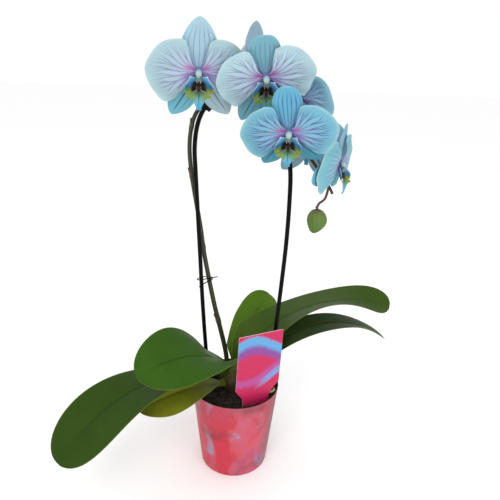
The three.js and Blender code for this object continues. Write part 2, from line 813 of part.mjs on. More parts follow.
function place(name, geometry, look) {
  const mesh = new THREE.Mesh(geometry, look);
  mesh.name = name;
  plant.add(mesh);
}

const mediumHoles = [hoopGeometry(GAP), crownGeometry(GAP), labelGeometry(GAP), rootGeometry(GAP)];
const medium = mediumHoles
  .map(solidOf)
  .reduce((rest, hole) => rest.subtract(hole), solidOf(mediumGeometry()));

place("pot", potGeometry(), POT_PRINT);
place("growing_medium", geometryOf(medium), BARK);
place("crown", crownGeometry(), CROWN_GREEN);
place("aerial_root", rootGeometry(), ROOT_SKIN);
for (const [name, leaf] of Object.entries(LEAVES)) {
  place(name, leafGeometry(leaf), material(leaf.color, 0.45));
}
place("support_hoop", hoopGeometry(), BLACK_COATING);
place("flower_spike", spikeGeometry(), SPIKE_SKIN);
for (const [name, bloom] of Object.entries(BLOOMS)) {
  const where = bloomMatrix(bloom);
  place(name, bloomGeometry(bloom).applyMatrix4(where), material(0x9fcbd9, 0.6));
  place(name + "_lip", lipGeometry().applyMatrix4(where), material(0x3c82b4, 0.55));
}
place("bud", budGeometry(), BUD_GREEN);
place("twist_tie", tieGeometry(), BLACK_COATING);
place("stem_clip", clipGeometry(), BLACK_COATING);
place("plant_label", labelGeometry(), LABEL_CARD);

export default plant;
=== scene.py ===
# A moth orchid in a tapered plastic pot: leaves, veined blue blooms, spike, hoop, bud and label.
# Millimetres in the shape formulas, metres in the meshes. +Z up, +X right, +Y away from the camera.
import random
from functools import partial, partialmethod
from math import atan2, cos, degrees, exp, hypot, pi, radians, sin, sqrt
from types import SimpleNamespace as Shape

import bpy
import bmesh
import numpy as np
from mathutils import Matrix, Vector


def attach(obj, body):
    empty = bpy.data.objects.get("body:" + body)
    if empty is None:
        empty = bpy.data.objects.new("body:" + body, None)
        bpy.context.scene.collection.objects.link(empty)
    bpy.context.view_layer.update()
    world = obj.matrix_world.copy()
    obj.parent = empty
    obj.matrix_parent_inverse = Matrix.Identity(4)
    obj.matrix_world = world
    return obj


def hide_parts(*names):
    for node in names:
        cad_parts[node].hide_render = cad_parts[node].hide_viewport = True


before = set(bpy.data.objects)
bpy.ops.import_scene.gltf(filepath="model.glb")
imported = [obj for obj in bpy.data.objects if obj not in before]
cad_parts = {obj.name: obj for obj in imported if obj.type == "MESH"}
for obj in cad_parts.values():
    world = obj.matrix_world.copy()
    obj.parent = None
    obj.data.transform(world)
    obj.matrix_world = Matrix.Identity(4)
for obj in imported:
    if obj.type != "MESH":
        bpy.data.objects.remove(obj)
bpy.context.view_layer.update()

MM = 0.001
SEED = 7
UV_NAME = "ShapeUV"


# Arithmetic on shader values


class Field:
    """A shader value, so that a pattern reads as plain arithmetic."""

    def __init__(self, look, socket):
        self.look = look
        self.socket = socket

    def op(self, kind, *others):
        return Field(self.look, self.look.node("Math", (self, *others), operation=kind).outputs[0])

    __add__ = __radd__ = partialmethod(op, "ADD")
    __sub__ = partialmethod(op, "SUBTRACT")
    __mul__ = partialmethod(op, "MULTIPLY")
    __truediv__ = partialmethod(op, "DIVIDE")
    __pow__ = partialmethod(op, "POWER")
    __abs__ = partialmethod(op, "ABSOLUTE")
    max = partialmethod(op, "MAXIMUM")
    min = partialmethod(op, "MINIMUM")
    sin = partialmethod(op, "SINE")
    nearest = partialmethod(op, "ROUND")

    def __rsub__(self, other):
        return (self * -1.0) + other

    def clamped(self):
        return self.max(0.0).min(1.0)

    def rise(self, low, high):
        """0 below low, 1 above high and a smooth step between them."""
        bounds = (self, low, high, 0.0, 1.0)
        made = self.look.node("MapRange", bounds, interpolation_type="SMOOTHSTEP")
        return Field(self.look, made.outputs[0])

    def fall(self, low, high):
        return 1.0 - self.rise(low, high)


def rgb(code):
    """A screen colour such as "#9c3c94" as the linear colour that shaders take."""
    levels = [int(code[i : i + 2], 16) / 255 for i in (1, 3, 5)]
    return (*(c / 12.92 if c < 0.04045 else ((c + 0.055) / 1.055) ** 2.4 for c in levels), 1.0)


class Look:
    """A material under construction: one Principled shader and the nodes that feed it."""

    def __init__(self, name, roughness, specular=0.5, sheen=0.0):
        self.material = bpy.data.materials.new(name)
        self.material.use_nodes = True
        self.tree = self.material.node_tree
        self.sockets = self.tree.nodes["Principled BSDF"].inputs
        self.sockets["Roughness"].default_value = roughness
        self.sockets["Specular IOR Level"].default_value = specular
        self.sockets["Sheen Weight"].default_value = sheen

    def feed(self, slot, value):
        if isinstance(value, Field):
            self.tree.links.new(value.socket, slot)
        elif isinstance(value, bpy.types.NodeSocket):
            self.tree.links.new(value, slot)
        else:
            slot.default_value = rgb(value) if isinstance(value, str) else value

    def node(self, kind, values=(), **settings):
        """A new shader node. values go to its sockets, in their order or by name or number."""
        made = self.tree.nodes.new("ShaderNode" + kind)
        for setting, value in settings.items():
            setattr(made, setting, value)
        for socket, value in values.items() if isinstance(values, dict) else enumerate(values):
            self.feed(made.inputs[socket], value)
        return made

    def uv(self):
        source = self.node("UVMap", uv_map=UV_NAME)
        split = self.node("SeparateXYZ", source.outputs[:1])
        return Field(self, split.outputs[0]), Field(self, split.outputs[1])

    def noise(self, scale, detail=2.0, where=None, stretch=None):
        """Cloudy noise about 0, from -0.5 to 0.5. scale is in repeats a metre."""
        spot = where or self.node("TexCoord").outputs["Object"]
        if stretch:
            spot = self.node("Mapping", {"Scale": stretch, "Vector": spot}).outputs[0]
        made = self.node("TexNoise", {"Scale": scale, "Detail": detail, "Vector": spot})
        return Field(self, made.outputs["Fac"]) - 0.5

    def joined(self, x, y):
        return self.node("CombineXYZ", (x, y)).outputs[0]

    def chance(self, number):
        """A number from 0 to 1 that belongs to each whole number."""
        made = self.node("TexWhiteNoise", {"W": number}, noise_dimensions="1D")
        return Field(self, made.outputs["Value"])

    def ramp(self, value, *stops):
        made = self.node("ValToRGB", (value,))
        band = made.color_ramp
        while len(band.elements) < len(stops):
            band.elements.new(0.5)
        for element, (position, colour) in zip(band.elements, stops):
            element.position = position
            element.color = rgb(colour)
        return made.outputs[0]

    def mix(self, share, below, above):
        return self.node("Mix", {0: share, 6: below, 7: above}, data_type="RGBA").outputs[2]

    def shade(self, colour, amount):
        """The colour made lighter or darker by a field about 0."""
        return self.node("HueSaturation", {"Value": amount + 1.0, "Color": colour}).outputs[0]

    def colour(self, colour, *coats):
        """The surface's colour, with (share, colour) coats laid over it in turn."""
        for share, above in coats:
            colour = self.mix(share, colour, above)
        self.feed(self.sockets["Base Color"], colour)

    def roughness(self, value):
        self.feed(self.sockets["Roughness"], value)

    def bump(self, height, distance=0.0004):
        values = {"Strength": 1.0, "Distance": distance, "Height": height}
        self.feed(self.sockets["Normal"], self.node("Bump", values).outputs[0])


def mottled_look(name, roughness, base, grain, relief=None, specular=0.5, wobble=None):
    """A simple mottled look. base is one colour, or the stops of a ramp along the piece.

    grain, relief and wobble are each a noise's scale, detail and strength.
    """
    look = Look(name, roughness, specular)
    noise = lambda scale, detail, strength: look.noise(scale, detail) * strength
    if not isinstance(base, str):
        along = look.uv()[1]
        base = look.ramp(along + noise(*wobble) if wobble else along, *base)
    look.colour(look.shade(base, noise(*grain)))
    if relief:
        scale, detail, distance = relief
        look.bump(look.noise(scale, detail), distance)
    return look


def flecked_look(name, roughness, specular, grain, relief, *stops):
    """A look whose colour runs through the stops with a noise. grain and relief are as above."""
    look = Look(name, roughness, specular)
    look.colour(look.ramp(look.noise(*grain) + 0.5, *stops))
    look.bump(look.noise(*relief[:2]), relief[2])
    return look


def stroke(distance, width):
    """1 on a line and 0 away from it, with a soft side."""
    return (1.6 - abs(distance) / width).clamped()


# Meshes: each part is (points in mm, faces, a UV for each point)


def lerp(start, end, share):
    return start + (end - start) * share


def unit(vectors):
    return vectors / np.maximum(np.linalg.norm(vectors, axis=-1, keepdims=True), 1e-9)


def shell(middle, thickness, rows, columns, spacing=lambda t: t):
    """A closed thin blade round a curved middle surface."""
    u = spacing(np.linspace(0, 1, rows + 1))[:, None]
    u, v = np.broadcast_arrays(u, np.linspace(-1, 1, columns + 1)[None, :])
    step = 1e-3
    along = middle(np.clip(u + step, 0, 1), v) - middle(np.clip(u - step, 0, 1), v)
    across = middle(u, np.clip(v + step, -1, 1)) - middle(u, np.clip(v - step, -1, 1))
    offset = unit(np.cross(along, across)) * (thickness(u, v) / 2)[..., None]
    sheets = [(middle(u, v) + side * offset).reshape(-1, 3) for side in (1, -1)]
    width, count = columns + 1, (rows + 1) * (columns + 1)
    faces = []
    for i in range(rows):
        for j in range(columns):
            a = i * width + j
            face = (a, a + width, a + width + 1, a + 1)
            faces += [face, tuple(p + count for p in reversed(face))]
    rim = [i * width for i in range(rows)]
    rim += [rows * width + j for j in range(columns)]
    rim += [i * width + columns for i in range(rows, 0, -1)]
    rim += range(columns, 0, -1)
    for p, q in zip(rim, rim[1:] + rim[:1]):
        faces.append((q, p, p + count, q + count))
    uv = np.stack([v, u], -1).reshape(-1, 2)
    return np.concatenate(sheets), faces, np.concatenate([uv, uv])


def ring(sides, place):
    """Points round a ring. place takes the angle of each."""
    return [place(2 * pi * k / sides) for k in range(sides)]


def loft(rings):
    """A closed body through rings of points. The UV is the way round and the way along."""
    rings = [np.asarray(one, float) for one in rings]
    sides, last = len(rings[0]), (len(rings) - 1) * len(rings[0])
    points = list(np.concatenate(rings)) + [rings[0].mean(0), rings[-1].mean(0)]
    faces = []
    for r in range(len(rings) - 1):
        for k in range(sides):
            a, b = r * sides + k, r * sides + (k + 1) % sides
            faces.append((a, b, b + sides, a + sides))
    for k in range(sides):
        following = (k + 1) % sides
        faces.append((len(points) - 2, following, k))
        faces.append((len(points) - 1, last + k, last + following))
    uv = [(k / sides, r / (len(rings) - 1)) for r in range(len(rings)) for k in range(sides)]
    return np.array(points), faces, np.array(uv + [(0, 0), (0, 1)])


def ball(rows, sides, margin, place):
    """A closed body from pole to pole. place takes the tilt from the lower pole and the angle."""
    tilts = [pi * (margin + (1 - 2 * margin) * i / rows) for i in range(rows + 1)]
    return loft([ring(sides, partial(place, tilt)) for tilt in tilts])


def smooth_path(points, steps):
    """Evenly spaced points on a smooth curve through the given ones."""
    p = np.array(points, float)
    p = np.concatenate([[2 * p[0] - p[1]], p, [2 * p[-1] - p[-2]]])
    fine = []
    for i in range(1, len(p) - 2):
        for t in np.linspace(0, 1, 24, endpoint=False):
            a, b, c, d = p[i - 1 : i + 3]
            fine.append(
                b + 0.5 * t * (c - a + t * (2 * a - 5 * b + 4 * c - d + t * (3 * (b - c) + d - a)))
            )
    fine = np.array(fine + [p[-2]])
    run = np.concatenate([[0], np.cumsum(np.linalg.norm(np.diff(fine, axis=0), axis=1))])
    even = np.linspace(0, run[-1], steps + 1)
    return np.stack([np.interp(even, run, fine[:, k]) for k in range(3)], 1)


def tube(points, radius_at, sides, steps):
    """A round tube along a smooth path. radius_at(t, angle) takes the way along, 0 to 1."""
    path = smooth_path(points, steps)
    ahead = unit(np.gradient(path, axis=0))
    side = unit(np.cross(ahead[0], (0.31, 0.87, 0.39)))
    rings = []
    for i, centre in enumerate(path):
        side = unit(side - ahead[i] * np.dot(side, ahead[i]))
        other = np.cross(ahead[i], side)
        out = lambda angle: cos(angle) * side + sin(angle) * other
        rings.append(ring(sides, lambda angle: centre + radius_at(i / steps, angle) * out(angle)))
    return loft(rings)


def place_at(spot, *turns):
    """The matrix that makes the (degrees, axis) turns, the last one first, and moves to spot."""
    matrix = Matrix.Translation(spot)
    for angle, axis in turns:
        matrix = matrix @ Matrix.Rotation(radians(angle), 4, axis)
    return matrix


def facing(part, side):
    """A mirrored part has its faces turned back to face outward."""
    points, faces, uv = part
    if side > 0:
        return part
    return points, [tuple(reversed(face)) for face in faces], uv


def weld(mesh):
    shape = bmesh.new()
    shape.from_mesh(mesh)
    bmesh.ops.remove_doubles(shape, verts=shape.verts, dist=1e-7)
    shape.to_mesh(mesh)
    shape.free()


def add(name, data):
    made = bpy.data.objects.new(name, data)
    bpy.context.scene.collection.objects.link(made)
    return made


def piece(name, node, parts, looks, crease=50, welded=False, where=Matrix()):
    """One object from (part, look number) pairs. It rides on the plant and stands in for a node."""
    points, faces, uvs, indices = [], [], [], []
    turn, spot = np.array(where.to_3x3()), np.array(where.translation)
    for (corners, polygons, uv), look in parts:
        shift = len(points)
        points.extend(map(tuple, (corners @ turn.T + spot) * MM))
        uvs.extend(map(tuple, uv))
        faces.extend(tuple(p + shift for p in polygon) for polygon in polygons)
        indices.extend([look] * len(polygons))
    mesh = bpy.data.meshes.new(name)
    mesh.from_pydata(points, [], faces)
    mesh.polygons.foreach_set("material_index", indices)
    layer = mesh.uv_layers.new(name=UV_NAME)
    corners = np.zeros(len(mesh.loops), int)
    mesh.loops.foreach_get("vertex_index", corners)
    layer.data.foreach_set("uv", np.array(uvs, np.float32)[corners].ravel())
    if welded:
        weld(mesh)
    for look in looks:
        mesh.materials.append(look.material)
    mesh.shade_smooth()
    mesh.set_sharp_from_angle(angle=radians(crease))
    made = add(name, mesh)
    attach(made, "root")
    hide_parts(node)


# Leaves. roll is at foot, middle and tip, and angles are in degrees.

LEAVES = {
    "leaf_left_long": Shape(
        foot=(-12.7, -3.5, 136), heading=211.5, turn=5, rise=31, droop=-55, bend=1.05, length=258,
        width=84, widest=0.65, narrow=0.41, blunt=2.4, roll=(28, 2, -33), gutter=4, colour="#2c440c",
    ),
    "leaf_left_broad": Shape(
        foot=(-8.2, -4.3, 148), heading=224, turn=2, rise=52, droop=-12, bend=0.96, length=163,
        width=85, widest=0.52, narrow=0.41, blunt=2.3, roll=(28, -23, -50), gutter=11, colour="#305212",
    ),
    "leaf_left_low": Shape(
        foot=(-13.5, -6.5, 123), heading=207.5, turn=6.5, rise=18, droop=-17, bend=0.96, length=126,
        width=64, widest=0.6, narrow=0.41, blunt=2.2, roll=(51, -17, -18), gutter=14, colour="#7e8222",
    ),
    "leaf_right_long": Shape(
        foot=(0.6, 11.6, 151.4), heading=23.3, turn=-18.4, rise=54.5, droop=-16.4, bend=0.88,
        length=251, width=78, widest=0.55, narrow=0.71, blunt=2.5, roll=(59, -12, 39), gutter=10,
        colour="#344a12",
    ),
    "leaf_right_low": Shape(
        foot=(7.9, 6.5, 140), heading=16, turn=3.5, rise=46.5, droop=-42.5, bend=1.11, length=250,
        width=51, widest=0.43, narrow=0.42, blunt=1.75, roll=(37, 1, 6), gutter=11, colour="#304418",
    ),
    "leaf_back": Shape(
        foot=(-4.4, 16.2, 146), heading=63.5, turn=-8.5, rise=46, droop=25, bend=1, length=119,
        width=56, widest=0.64, narrow=0.39, blunt=2.6, roll=(21, -6.5, 28), gutter=12, colour="#456514",
    ),
}
CLASP = Shape(fold=62, reach=0.2, share=0.4, over=0.16)


def leaf_surface(leaf):
    """The middle surface of a leaf: u runs from foot to tip and v from edge to edge."""
    heading_at = lambda u: np.radians(leaf.heading + leaf.turn * u)
    rise_at = lambda u: np.radians(lerp(leaf.rise, leaf.droop, u**leaf.bend))

    def ahead(u):
        h, r = heading_at(u), rise_at(u)
        return np.stack([np.cos(r) * np.cos(h), np.cos(r) * np.sin(h), np.sin(r)], -1)

    steps = 60
    strides = ahead((np.arange(steps) + 0.5) / steps) * leaf.length / steps
    path = np.concatenate([[leaf.foot], leaf.foot + np.cumsum(strides, 0)])

    def half_width(u):
        swelling = lerp(leaf.narrow, 1, np.sin(np.pi / 2 * np.minimum(u / leaf.widest, 1)))
        past = np.clip((u - leaf.widest) / (1 - leaf.widest), 0, 1)
        rounding = np.sqrt(np.maximum(1 - past**leaf.blunt, 0.0004))
        held = lerp(CLASP.share, 1, np.minimum(u / CLASP.over, 1) ** 0.7)
        return leaf.width / 2 * held * np.where(u < leaf.widest, swelling, rounding)

    def surface(u, v):
        level = np.stack([-np.sin(heading_at(u)), np.cos(heading_at(u)), 0 * u], -1)
        forward = ahead(u)
        up = np.cross(forward, level)
        foot, middle, tip = leaf.roll
        roll = foot * (1 - u) * (1 - 2 * u) + middle * 4 * u * (1 - u) + tip * u * (2 * u - 1)
        roll = np.radians(roll)[..., None]
        across = level * np.cos(roll) + up * np.sin(roll)
        outward = np.cross(forward, across)
        held = np.maximum(1 - u / CLASP.reach, 0) ** 1.5
        fold = np.radians(lerp(leaf.gutter, CLASP.fold, held))
        reach = half_width(u)
        shares = np.linspace(0, 1, steps + 1)
        centre = np.stack([np.interp(u, shares, line) for line in path.T], -1)
        groove = 0.9 * np.exp(-((v * reach / 2.2) ** 2)) * (1 - u**6)
        wave = 0.8 * v**2 * np.sin(u * 13 + np.sign(v) * 1.1 + leaf.length)
        flat = v * reach * np.cos(fold)
        lift = np.abs(v) ** 1.3 * reach * np.sin(fold) - groove + wave
        return centre + across * flat[..., None] + outward * lift[..., None]

    return surface


def leaf_look(name, leaf):
    look = Look(name, 0.5, specular=0.078)
    across, along = look.uv()
    mottle = look.noise(220, 3)
    base = look.shade(leaf.colour, look.noise(28, 3) * 0.35 + mottle * 0.14)
    young = look.mix(along.fall(0, 0.32) * 0.5, base, "#546c22")
    fibre = look.noise(9, 2, look.joined(across * 9, along * 0.8))
    rib = stroke(across, 0.035) * along.fall(0.75, 1)
    edge = abs(across).rise(0.955, 1)
    look.colour(look.shade(young, fibre * 0.12), (rib * 0.4, "#1e300e"), (edge * 0.3, "#788232"))
    look.roughness(mottle * 0.16 + 0.4)
    look.bump(fibre * 0.7 + look.noise(900) * 0.3)
    return look


def leaf_thickness(u, v):
    return lerp(2.4, 0.5, np.maximum(v**2, u**4) ** 1.6)


def make_leaves():
    closer_at_the_tip = lambda t: 1 - (1 - t) ** 1.35
    for name, leaf in LEAVES.items():
        blade = shell(leaf_surface(leaf), leaf_thickness, 96, 36, closer_at_the_tip)
        looks = [leaf_look(name + "_skin", leaf)]
        piece(name + "_blade", name, [(blade, 0)], looks, crease=65)


# Blooms. Each has its own frame: x to the bloom's right, y up and z out of its face.
# yaw turns the face from the front towards +X, nod tips it down and roll turns it in its own face.
# petals tilts and sweep sends back the left and the right petal, and low is how far down both
# spread. dorsal is the length, width and heading of the upper sepal, how far out it is fullest and
# how pointed it is. under holds the colours of the left and the right lower sepal.

POINTED = (1.08, 0.62)
BLUNT = (1.35, 0.42)

BLOOMS = {
    "bloom_1": Shape(
        at=(-47.7, -19, 533.2), yaw=6, nod=18, roll=0, size=1, sweep=(0, 0), petals=(0, 0), low=54,
        dorsal=(53.2, 40.4, 88, 0.75, 0.62), lower=(-58.5, -56), reach=(59, 59), broad=30,
        petal="#96b2b8", upper="#92b2be", under=("#64a2b2", "#9eb6be"), vein=0.66, ink="#7060a0",
        heart=0.8,
    ),
    "bloom_2": Shape(
        at=(11.6, 47, 538.3), yaw=127, nod=10, roll=0, size=0.93, sweep=(-12, -10), petals=(-10, -12),
        low=46, dorsal=(53.2, 37.4, 90, *POINTED), lower=(-70, -60), reach=(48, 48), broad=30,
        petal="#92aeb8", upper="#8ca6b6", under=("#6eaabe",) * 2, vein=0.3, ink="#7082a6", heart=0.3,
    ),
    "bloom_3": Shape(
        at=(25.5, -25, 530), yaw=7, nod=27, roll=3, size=0.95, sweep=(0, 0), petals=(-12, 7), low=46,
        dorsal=(43.8, 36, 94, *BLUNT), lower=(-66, -52), reach=(64, 64), broad=28, petal="#9ebac2",
        upper="#689caa", under=("#649caa", "#4e8ea2"), vein=0.7, ink="#684e8e", heart=0.92,
    ),
    "bloom_4": Shape(
        at=(68.6, 28.8, 505.3), yaw=138.5, nod=-3.4, roll=2, size=0.87, sweep=(0, 0), petals=(-8.3, -8),
        low=42, dorsal=(46, 32, 90, *POINTED), lower=(-60, -35), reach=(48, 48), broad=30,
        petal="#88bcd0", upper="#78aac0", under=("#70a4bc",) * 2, vein=0.75, ink="#5c548e", heart=0.1,
    ),
    "bloom_5": Shape(
        at=(51.8, -52, 475.8), yaw=-4, nod=23, roll=0, size=0.92, sweep=(0, 0), petals=(-11, 3), low=46,
        dorsal=(51.6, 34.2, 96, *BLUNT), lower=(-58.4, -44), reach=(54, 54), broad=28, petal="#68a2b2",
        upper="#589ab4", under=("#44889a", "#40849a"), vein=1.0, ink="#34368c", heart=0.8,
    ),
    "bloom_6": Shape(
        at=(83.7, 26.6, 457.6), yaw=176.4, nod=7, roll=5.5, size=0.83, sweep=(0, 0), petals=(-5, 0),
        low=46, dorsal=(40, 30, 90, *POINTED), lower=(-60, -53), reach=(57, 57), broad=29,
        petal="#8eb6c0", upper="#88aeba", under=("#86a8b4",) * 2, vein=0.55, ink="#566896", heart=0.1,
    ),
    "bloom_7": Shape(
        at=(117, 1, 434.7), yaw=59, nod=7.6, roll=-2.4, size=0.91, sweep=(0, 4), petals=(-12, 6),
        low=46, dorsal=(50.5, 20, 70, *POINTED), lower=(-15, -50), reach=(62, 42), broad=35,
        petal="#6ca8b2", upper="#74a0b6", under=("#5698a8",) * 2, vein=0.5, ink="#546e96", heart=0.35,
    ),
}


def bloom_matrix(bloom):
    turns = (bloom.yaw, "Z"), (90 + bloom.nod, "X"), (bloom.roll, "Z")
    return place_at(bloom.at, *turns) @ Matrix.Scale(bloom.size, 4)


PETAL = Shape(
    length=55.5, root=(3, 1, 1.6), curl=3.5, neck=0.79,
    upper=Shape(spread=72.7, full=1.3, fall=0.75, edge=0.6),
    lower=Shape(full=9, fall=1, edge=0.72),
)
LATERAL = (1.1, 0.62)


def petal_surface(side, tilt, sweep, low):
    """A fan about its root, with straight inner edges that run out to its rounded corners."""
    flat, back = cos(radians(sweep)), sin(radians(sweep))
    root_x, root_y, root_z = PETAL.root

    def surface(u, v):
        turn = v * (1.3 - 0.3 * v * v)
        pick = lambda key: np.where(turn > 0, getattr(PETAL.upper, key), getattr(PETAL.lower, key))
        angle = np.radians(np.where(turn > 0, PETAL.upper.spread, low) * turn)
        fan = angle * lerp(PETAL.neck, 1, np.minimum(u / 0.5, 1))
        point = 1 - 0.05 * (1 - np.exp(-((angle / 0.25) ** 2)))
        corner = np.maximum(1 - np.abs(turn) ** pick("full"), 0) ** pick("fall")
        outline = PETAL.length * point * lerp(pick("edge"), 1, corner)
        outline = outline * (1 + 0.007 * np.sin(11 * v + 2.3 * side + tilt))
        reach = outline * (0.05 + 0.95 * u)
        heading = fan + radians(tilt)
        wave = 0.7 * u**4 * np.sin(14 * v + tilt + side) - 1.3 * np.cos(2.2 * fan) * u**2
        bow = 3.2 * np.sin(np.pi * np.minimum(u * 1.15, 1)) - PETAL.curl * u**2.2
        foot = (1 - u) ** 6
        crease = 1.1 * np.exp(-((v / 0.09) ** 2)) * np.sin(np.pi * np.clip(u, 0, 1)) ** 2
        swept = reach * np.maximum(np.cos(heading), 0) * back
        x = side * (root_x - 2.4 * foot + reach * np.cos(heading) * flat)
        z = root_z - 0.8 * foot + bow + wave - crease - swept
        return np.stack([x, root_y + reach * np.sin(heading), z], -1)

    return surface


def sepal_surface(length, width, heading, fullest, pointed):
    """A long oval about its own axis, behind the petals, its tip bent back."""
    heading = radians(heading)
    along = np.array([cos(heading), sin(heading), 0])
    across = np.array([-along[1], along[0], 0])

    def surface(u, v):
        reach = 2 + length * u
        oval = np.sin(np.pi * np.clip(u, 0.012, 0.998) ** fullest) ** pointed
        back = 5 * u**2 + 2.2 * v**2 * oval + 0.9 * np.exp(-((v / 0.1) ** 2)) * oval
        back = back + 0.4 * v**2 * np.sin(u * 15)
        flat = along * reach[..., None] + across * (v * width / 2 * oval)[..., None]
        flat[..., 2] = -2 - back
        return flat

    return surface


def petal_look(name, bloom):
    """Blue petal: magenta at its root, with a fan of forking veins that fade before the rim."""
    look = Look(name, 0.6, specular=0.2, sheen=0.08)
    across, along = look.uv()
    turn = across * (1.3 - across * across * 0.3)
    bearing = turn.max(0) * PETAL.upper.spread + turn.min(0) * bloom.low
    drift = look.noise(30, 1) * along.rise(0.1, 0.8) * 1.9 + look.noise(220, 1) * 0.16
    fan = bearing / 14.5 + drift
    vein = fan.nearest()
    side = fan - vein
    grown = along - look.chance(vein) * 0.2
    fork, twig = grown.rise(0.2, 0.7) * 0.31, grown.rise(0.42, 0.9) * 0.15
    thin = along.max(0.18) ** -1 * 0.025
    branch = stroke(abs(side) - fork, thin * 0.9) * grown.rise(0.22, 0.3) * 0.9
    tip = stroke(abs(abs(side) - fork) - twig, thin * 0.7) * grown.rise(0.44, 0.54) * 0.6
    fade = along.fall(0.62, 0.97) * (look.noise(120) + 1)
    lines = (stroke(side, thin).max(branch).max(tip) * fade).clamped()
    root_ink = look.ramp(along, (0, "#9c3c94"), (0.3, "#8c4698"), (0.55, "#6e4c96"), (0.85, "#4e6096"))
    ink = look.mix(along.rise(0.12, 0.6) * 0.7, root_ink, bloom.ink)
    violet = tuple(p * 0.7 + v * 0.3 for p, v in zip(rgb(bloom.petal), rgb("#ac78d2")))
    low = bearing.fall(-20, 2) * along.fall(0.08, 0.4)
    high = bearing.rise(4, 30) * bearing.fall(52, 74) * along.fall(0.07, 0.34)
    look.colour(
        look.shade(bloom.petal, look.noise(40) * 0.1),
        (along.fall(0.15, 0.72) * (1.15 - bloom.vein * 0.75), violet),
        (low * 0.7, "#5e4698"),
        (high * bloom.heart, "#a4489c"),
        (lines * bloom.vein, ink),
        (along.rise(0.9, 1) * 0.3, "#b8c8ca"),
    )
    look.bump(lines * -0.4 + look.noise(700) * 0.25, 0.0005)
    return look


def sepal_look(name, base_colour, ink_colour, amount, spacing, middle):
    """Sepal with near-parallel veins along it, darkest along the two sides of its foot."""
    look = Look(name, 0.6, specular=0.2, sheen=0.08)
    across, along = look.uv()
    drift = look.noise(50, 1) * 0.5 + look.noise(400) * 0.1
    fan = across * spacing + drift
    vein = fan.nearest()
    side = fan - vein
    wide = abs(across)
    fork = (along - look.chance(vein) * 0.3).rise(0.35, 0.95) * 0.3
    branch = stroke(abs(side) - fork, 0.052) * along.rise(0.4, 0.55) * 0.5
    lines = stroke(side, 0.065).max(branch) * along.fall(0.66, 0.96) * wide.fall(0.8, 0.95)
    spine = stroke(across + drift * 0.2, 0.07) * along.fall(0.8, 0.98)
    rim = along.rise(0.95, 1).max(wide.rise(0.95, 1) * along.rise(0.4, 0.6))
    look.colour(
        look.shade(base_colour, look.noise(40) * 0.14),
        (along.fall(0, 0.4) * 0.35, "#8c92c4"),
        (lines * amount, ink_colour),
        (spine * middle, "#2e4a70"),
        (wide.rise(0.55, 0.98) * along.fall(0.2, 0.5) * 0.8, "#584080"),
        (rim * 0.25, "#b0c8ce"),
    )
    look.bump(lines * -0.4 + look.noise(700) * 0.25, 0.0005)
    return look


def column_look(name):
    """Pale cap on a greyer stem, flushed violet at its foot. The cap darkens to teal at its end, painted
    shade on its underside.
    """
    look = Look(name, 0.45, specular=0.3)
    along = look.uv()[1] + look.noise(600) * 0.05
    foot = (0, "#70467c"), (0.4, "#5c76a0"), (0.6, "#809aaa")
    # The last two cap stops darken towards the end that bends down over the face: painted shade on the
    # cap's underside.
    cap = (0.72, "#a0b2b4"), (0.9, "#92aaae"), (1, "#6a9498")
    look.colour(look.ramp(along, *foot, *cap))
    look.bump(look.noise(900))
    return look


FOOT_LOOK = mottled_look("bloom_foot_skin", 0.5, "#5c709e", (500, 3, 0.5), (900, 2, 0.0004), 0.3)
TOOTH_STOPS = (0, "#546864"), (0.35, "#707c6c"), (0.7, "#8c9688"), (1, "#acb2a4")
TOOTH_LOOK = mottled_look("column_face_skin", 0.45, TOOTH_STOPS, (700, 3, 0.6), (900, 2, 0.0004), 0.3)

COLUMN = (
    ((0, 0.5, -2), 3.4),
    ((0, 1.3, 3), 2.8),
    ((0, -0.2, 7), 3.8),
    ((0, -1.5, 9.6), 3.1),
    ((0, -2.7, 10.8), 1.5),
)
TEETH = (
    (((0, -2.8, 8), (0, -5.4, 8), (0, -8.4, 7.4)), 2.3),
    (((1.9, -3.6, 8), (2.2, -6.5, 8.2), (1.7, -10.4, 8)), 1.1),
    (((-1.9, -3.6, 8), (-2.2, -6.5, 8.2), (-1.7, -9.8, 8)), 1.1),
)


def column_part():
    """The column, its end rounded into a smooth cap that bends down over its face."""
    steps = 22
    shares = np.linspace(0, 1, steps + 1)
    centres = smooth_path([c for c, _ in COLUMN], steps)
    radii = np.interp(shares, np.linspace(0, 1, len(COLUMN)), [r for _, r in COLUMN])

    def place(i, angle):
        closing = sqrt(max(1 - max((i / steps - 0.82) / 0.18, 0) ** 2, 0.01))
        notch = 1 - 0.12 * max(-sin(angle), 0) ** 3 * (0.3 + 0.7 * i / steps)
        out = np.array([cos(angle) * 1.04, sin(angle), 0])
        return centres[i] + radii[i] * closing * notch * out

    return loft([ring(24, partial(place, i)) for i in range(steps + 1)])


def heart_part():
    """The small swelling behind the column where petals and sepals meet."""
    def place(tilt, angle):
        reach = 5.0 * sin(tilt) * (1 + 0.04 * cos(3 * angle))
        return reach * cos(angle), reach * sin(angle), -1 - 3.5 * cos(tilt)

    return ball(12, 24, 0.02, place)


def tepal_thickness(u, v):
    return 0.9 - 0.5 * np.maximum(v**8, u**8)


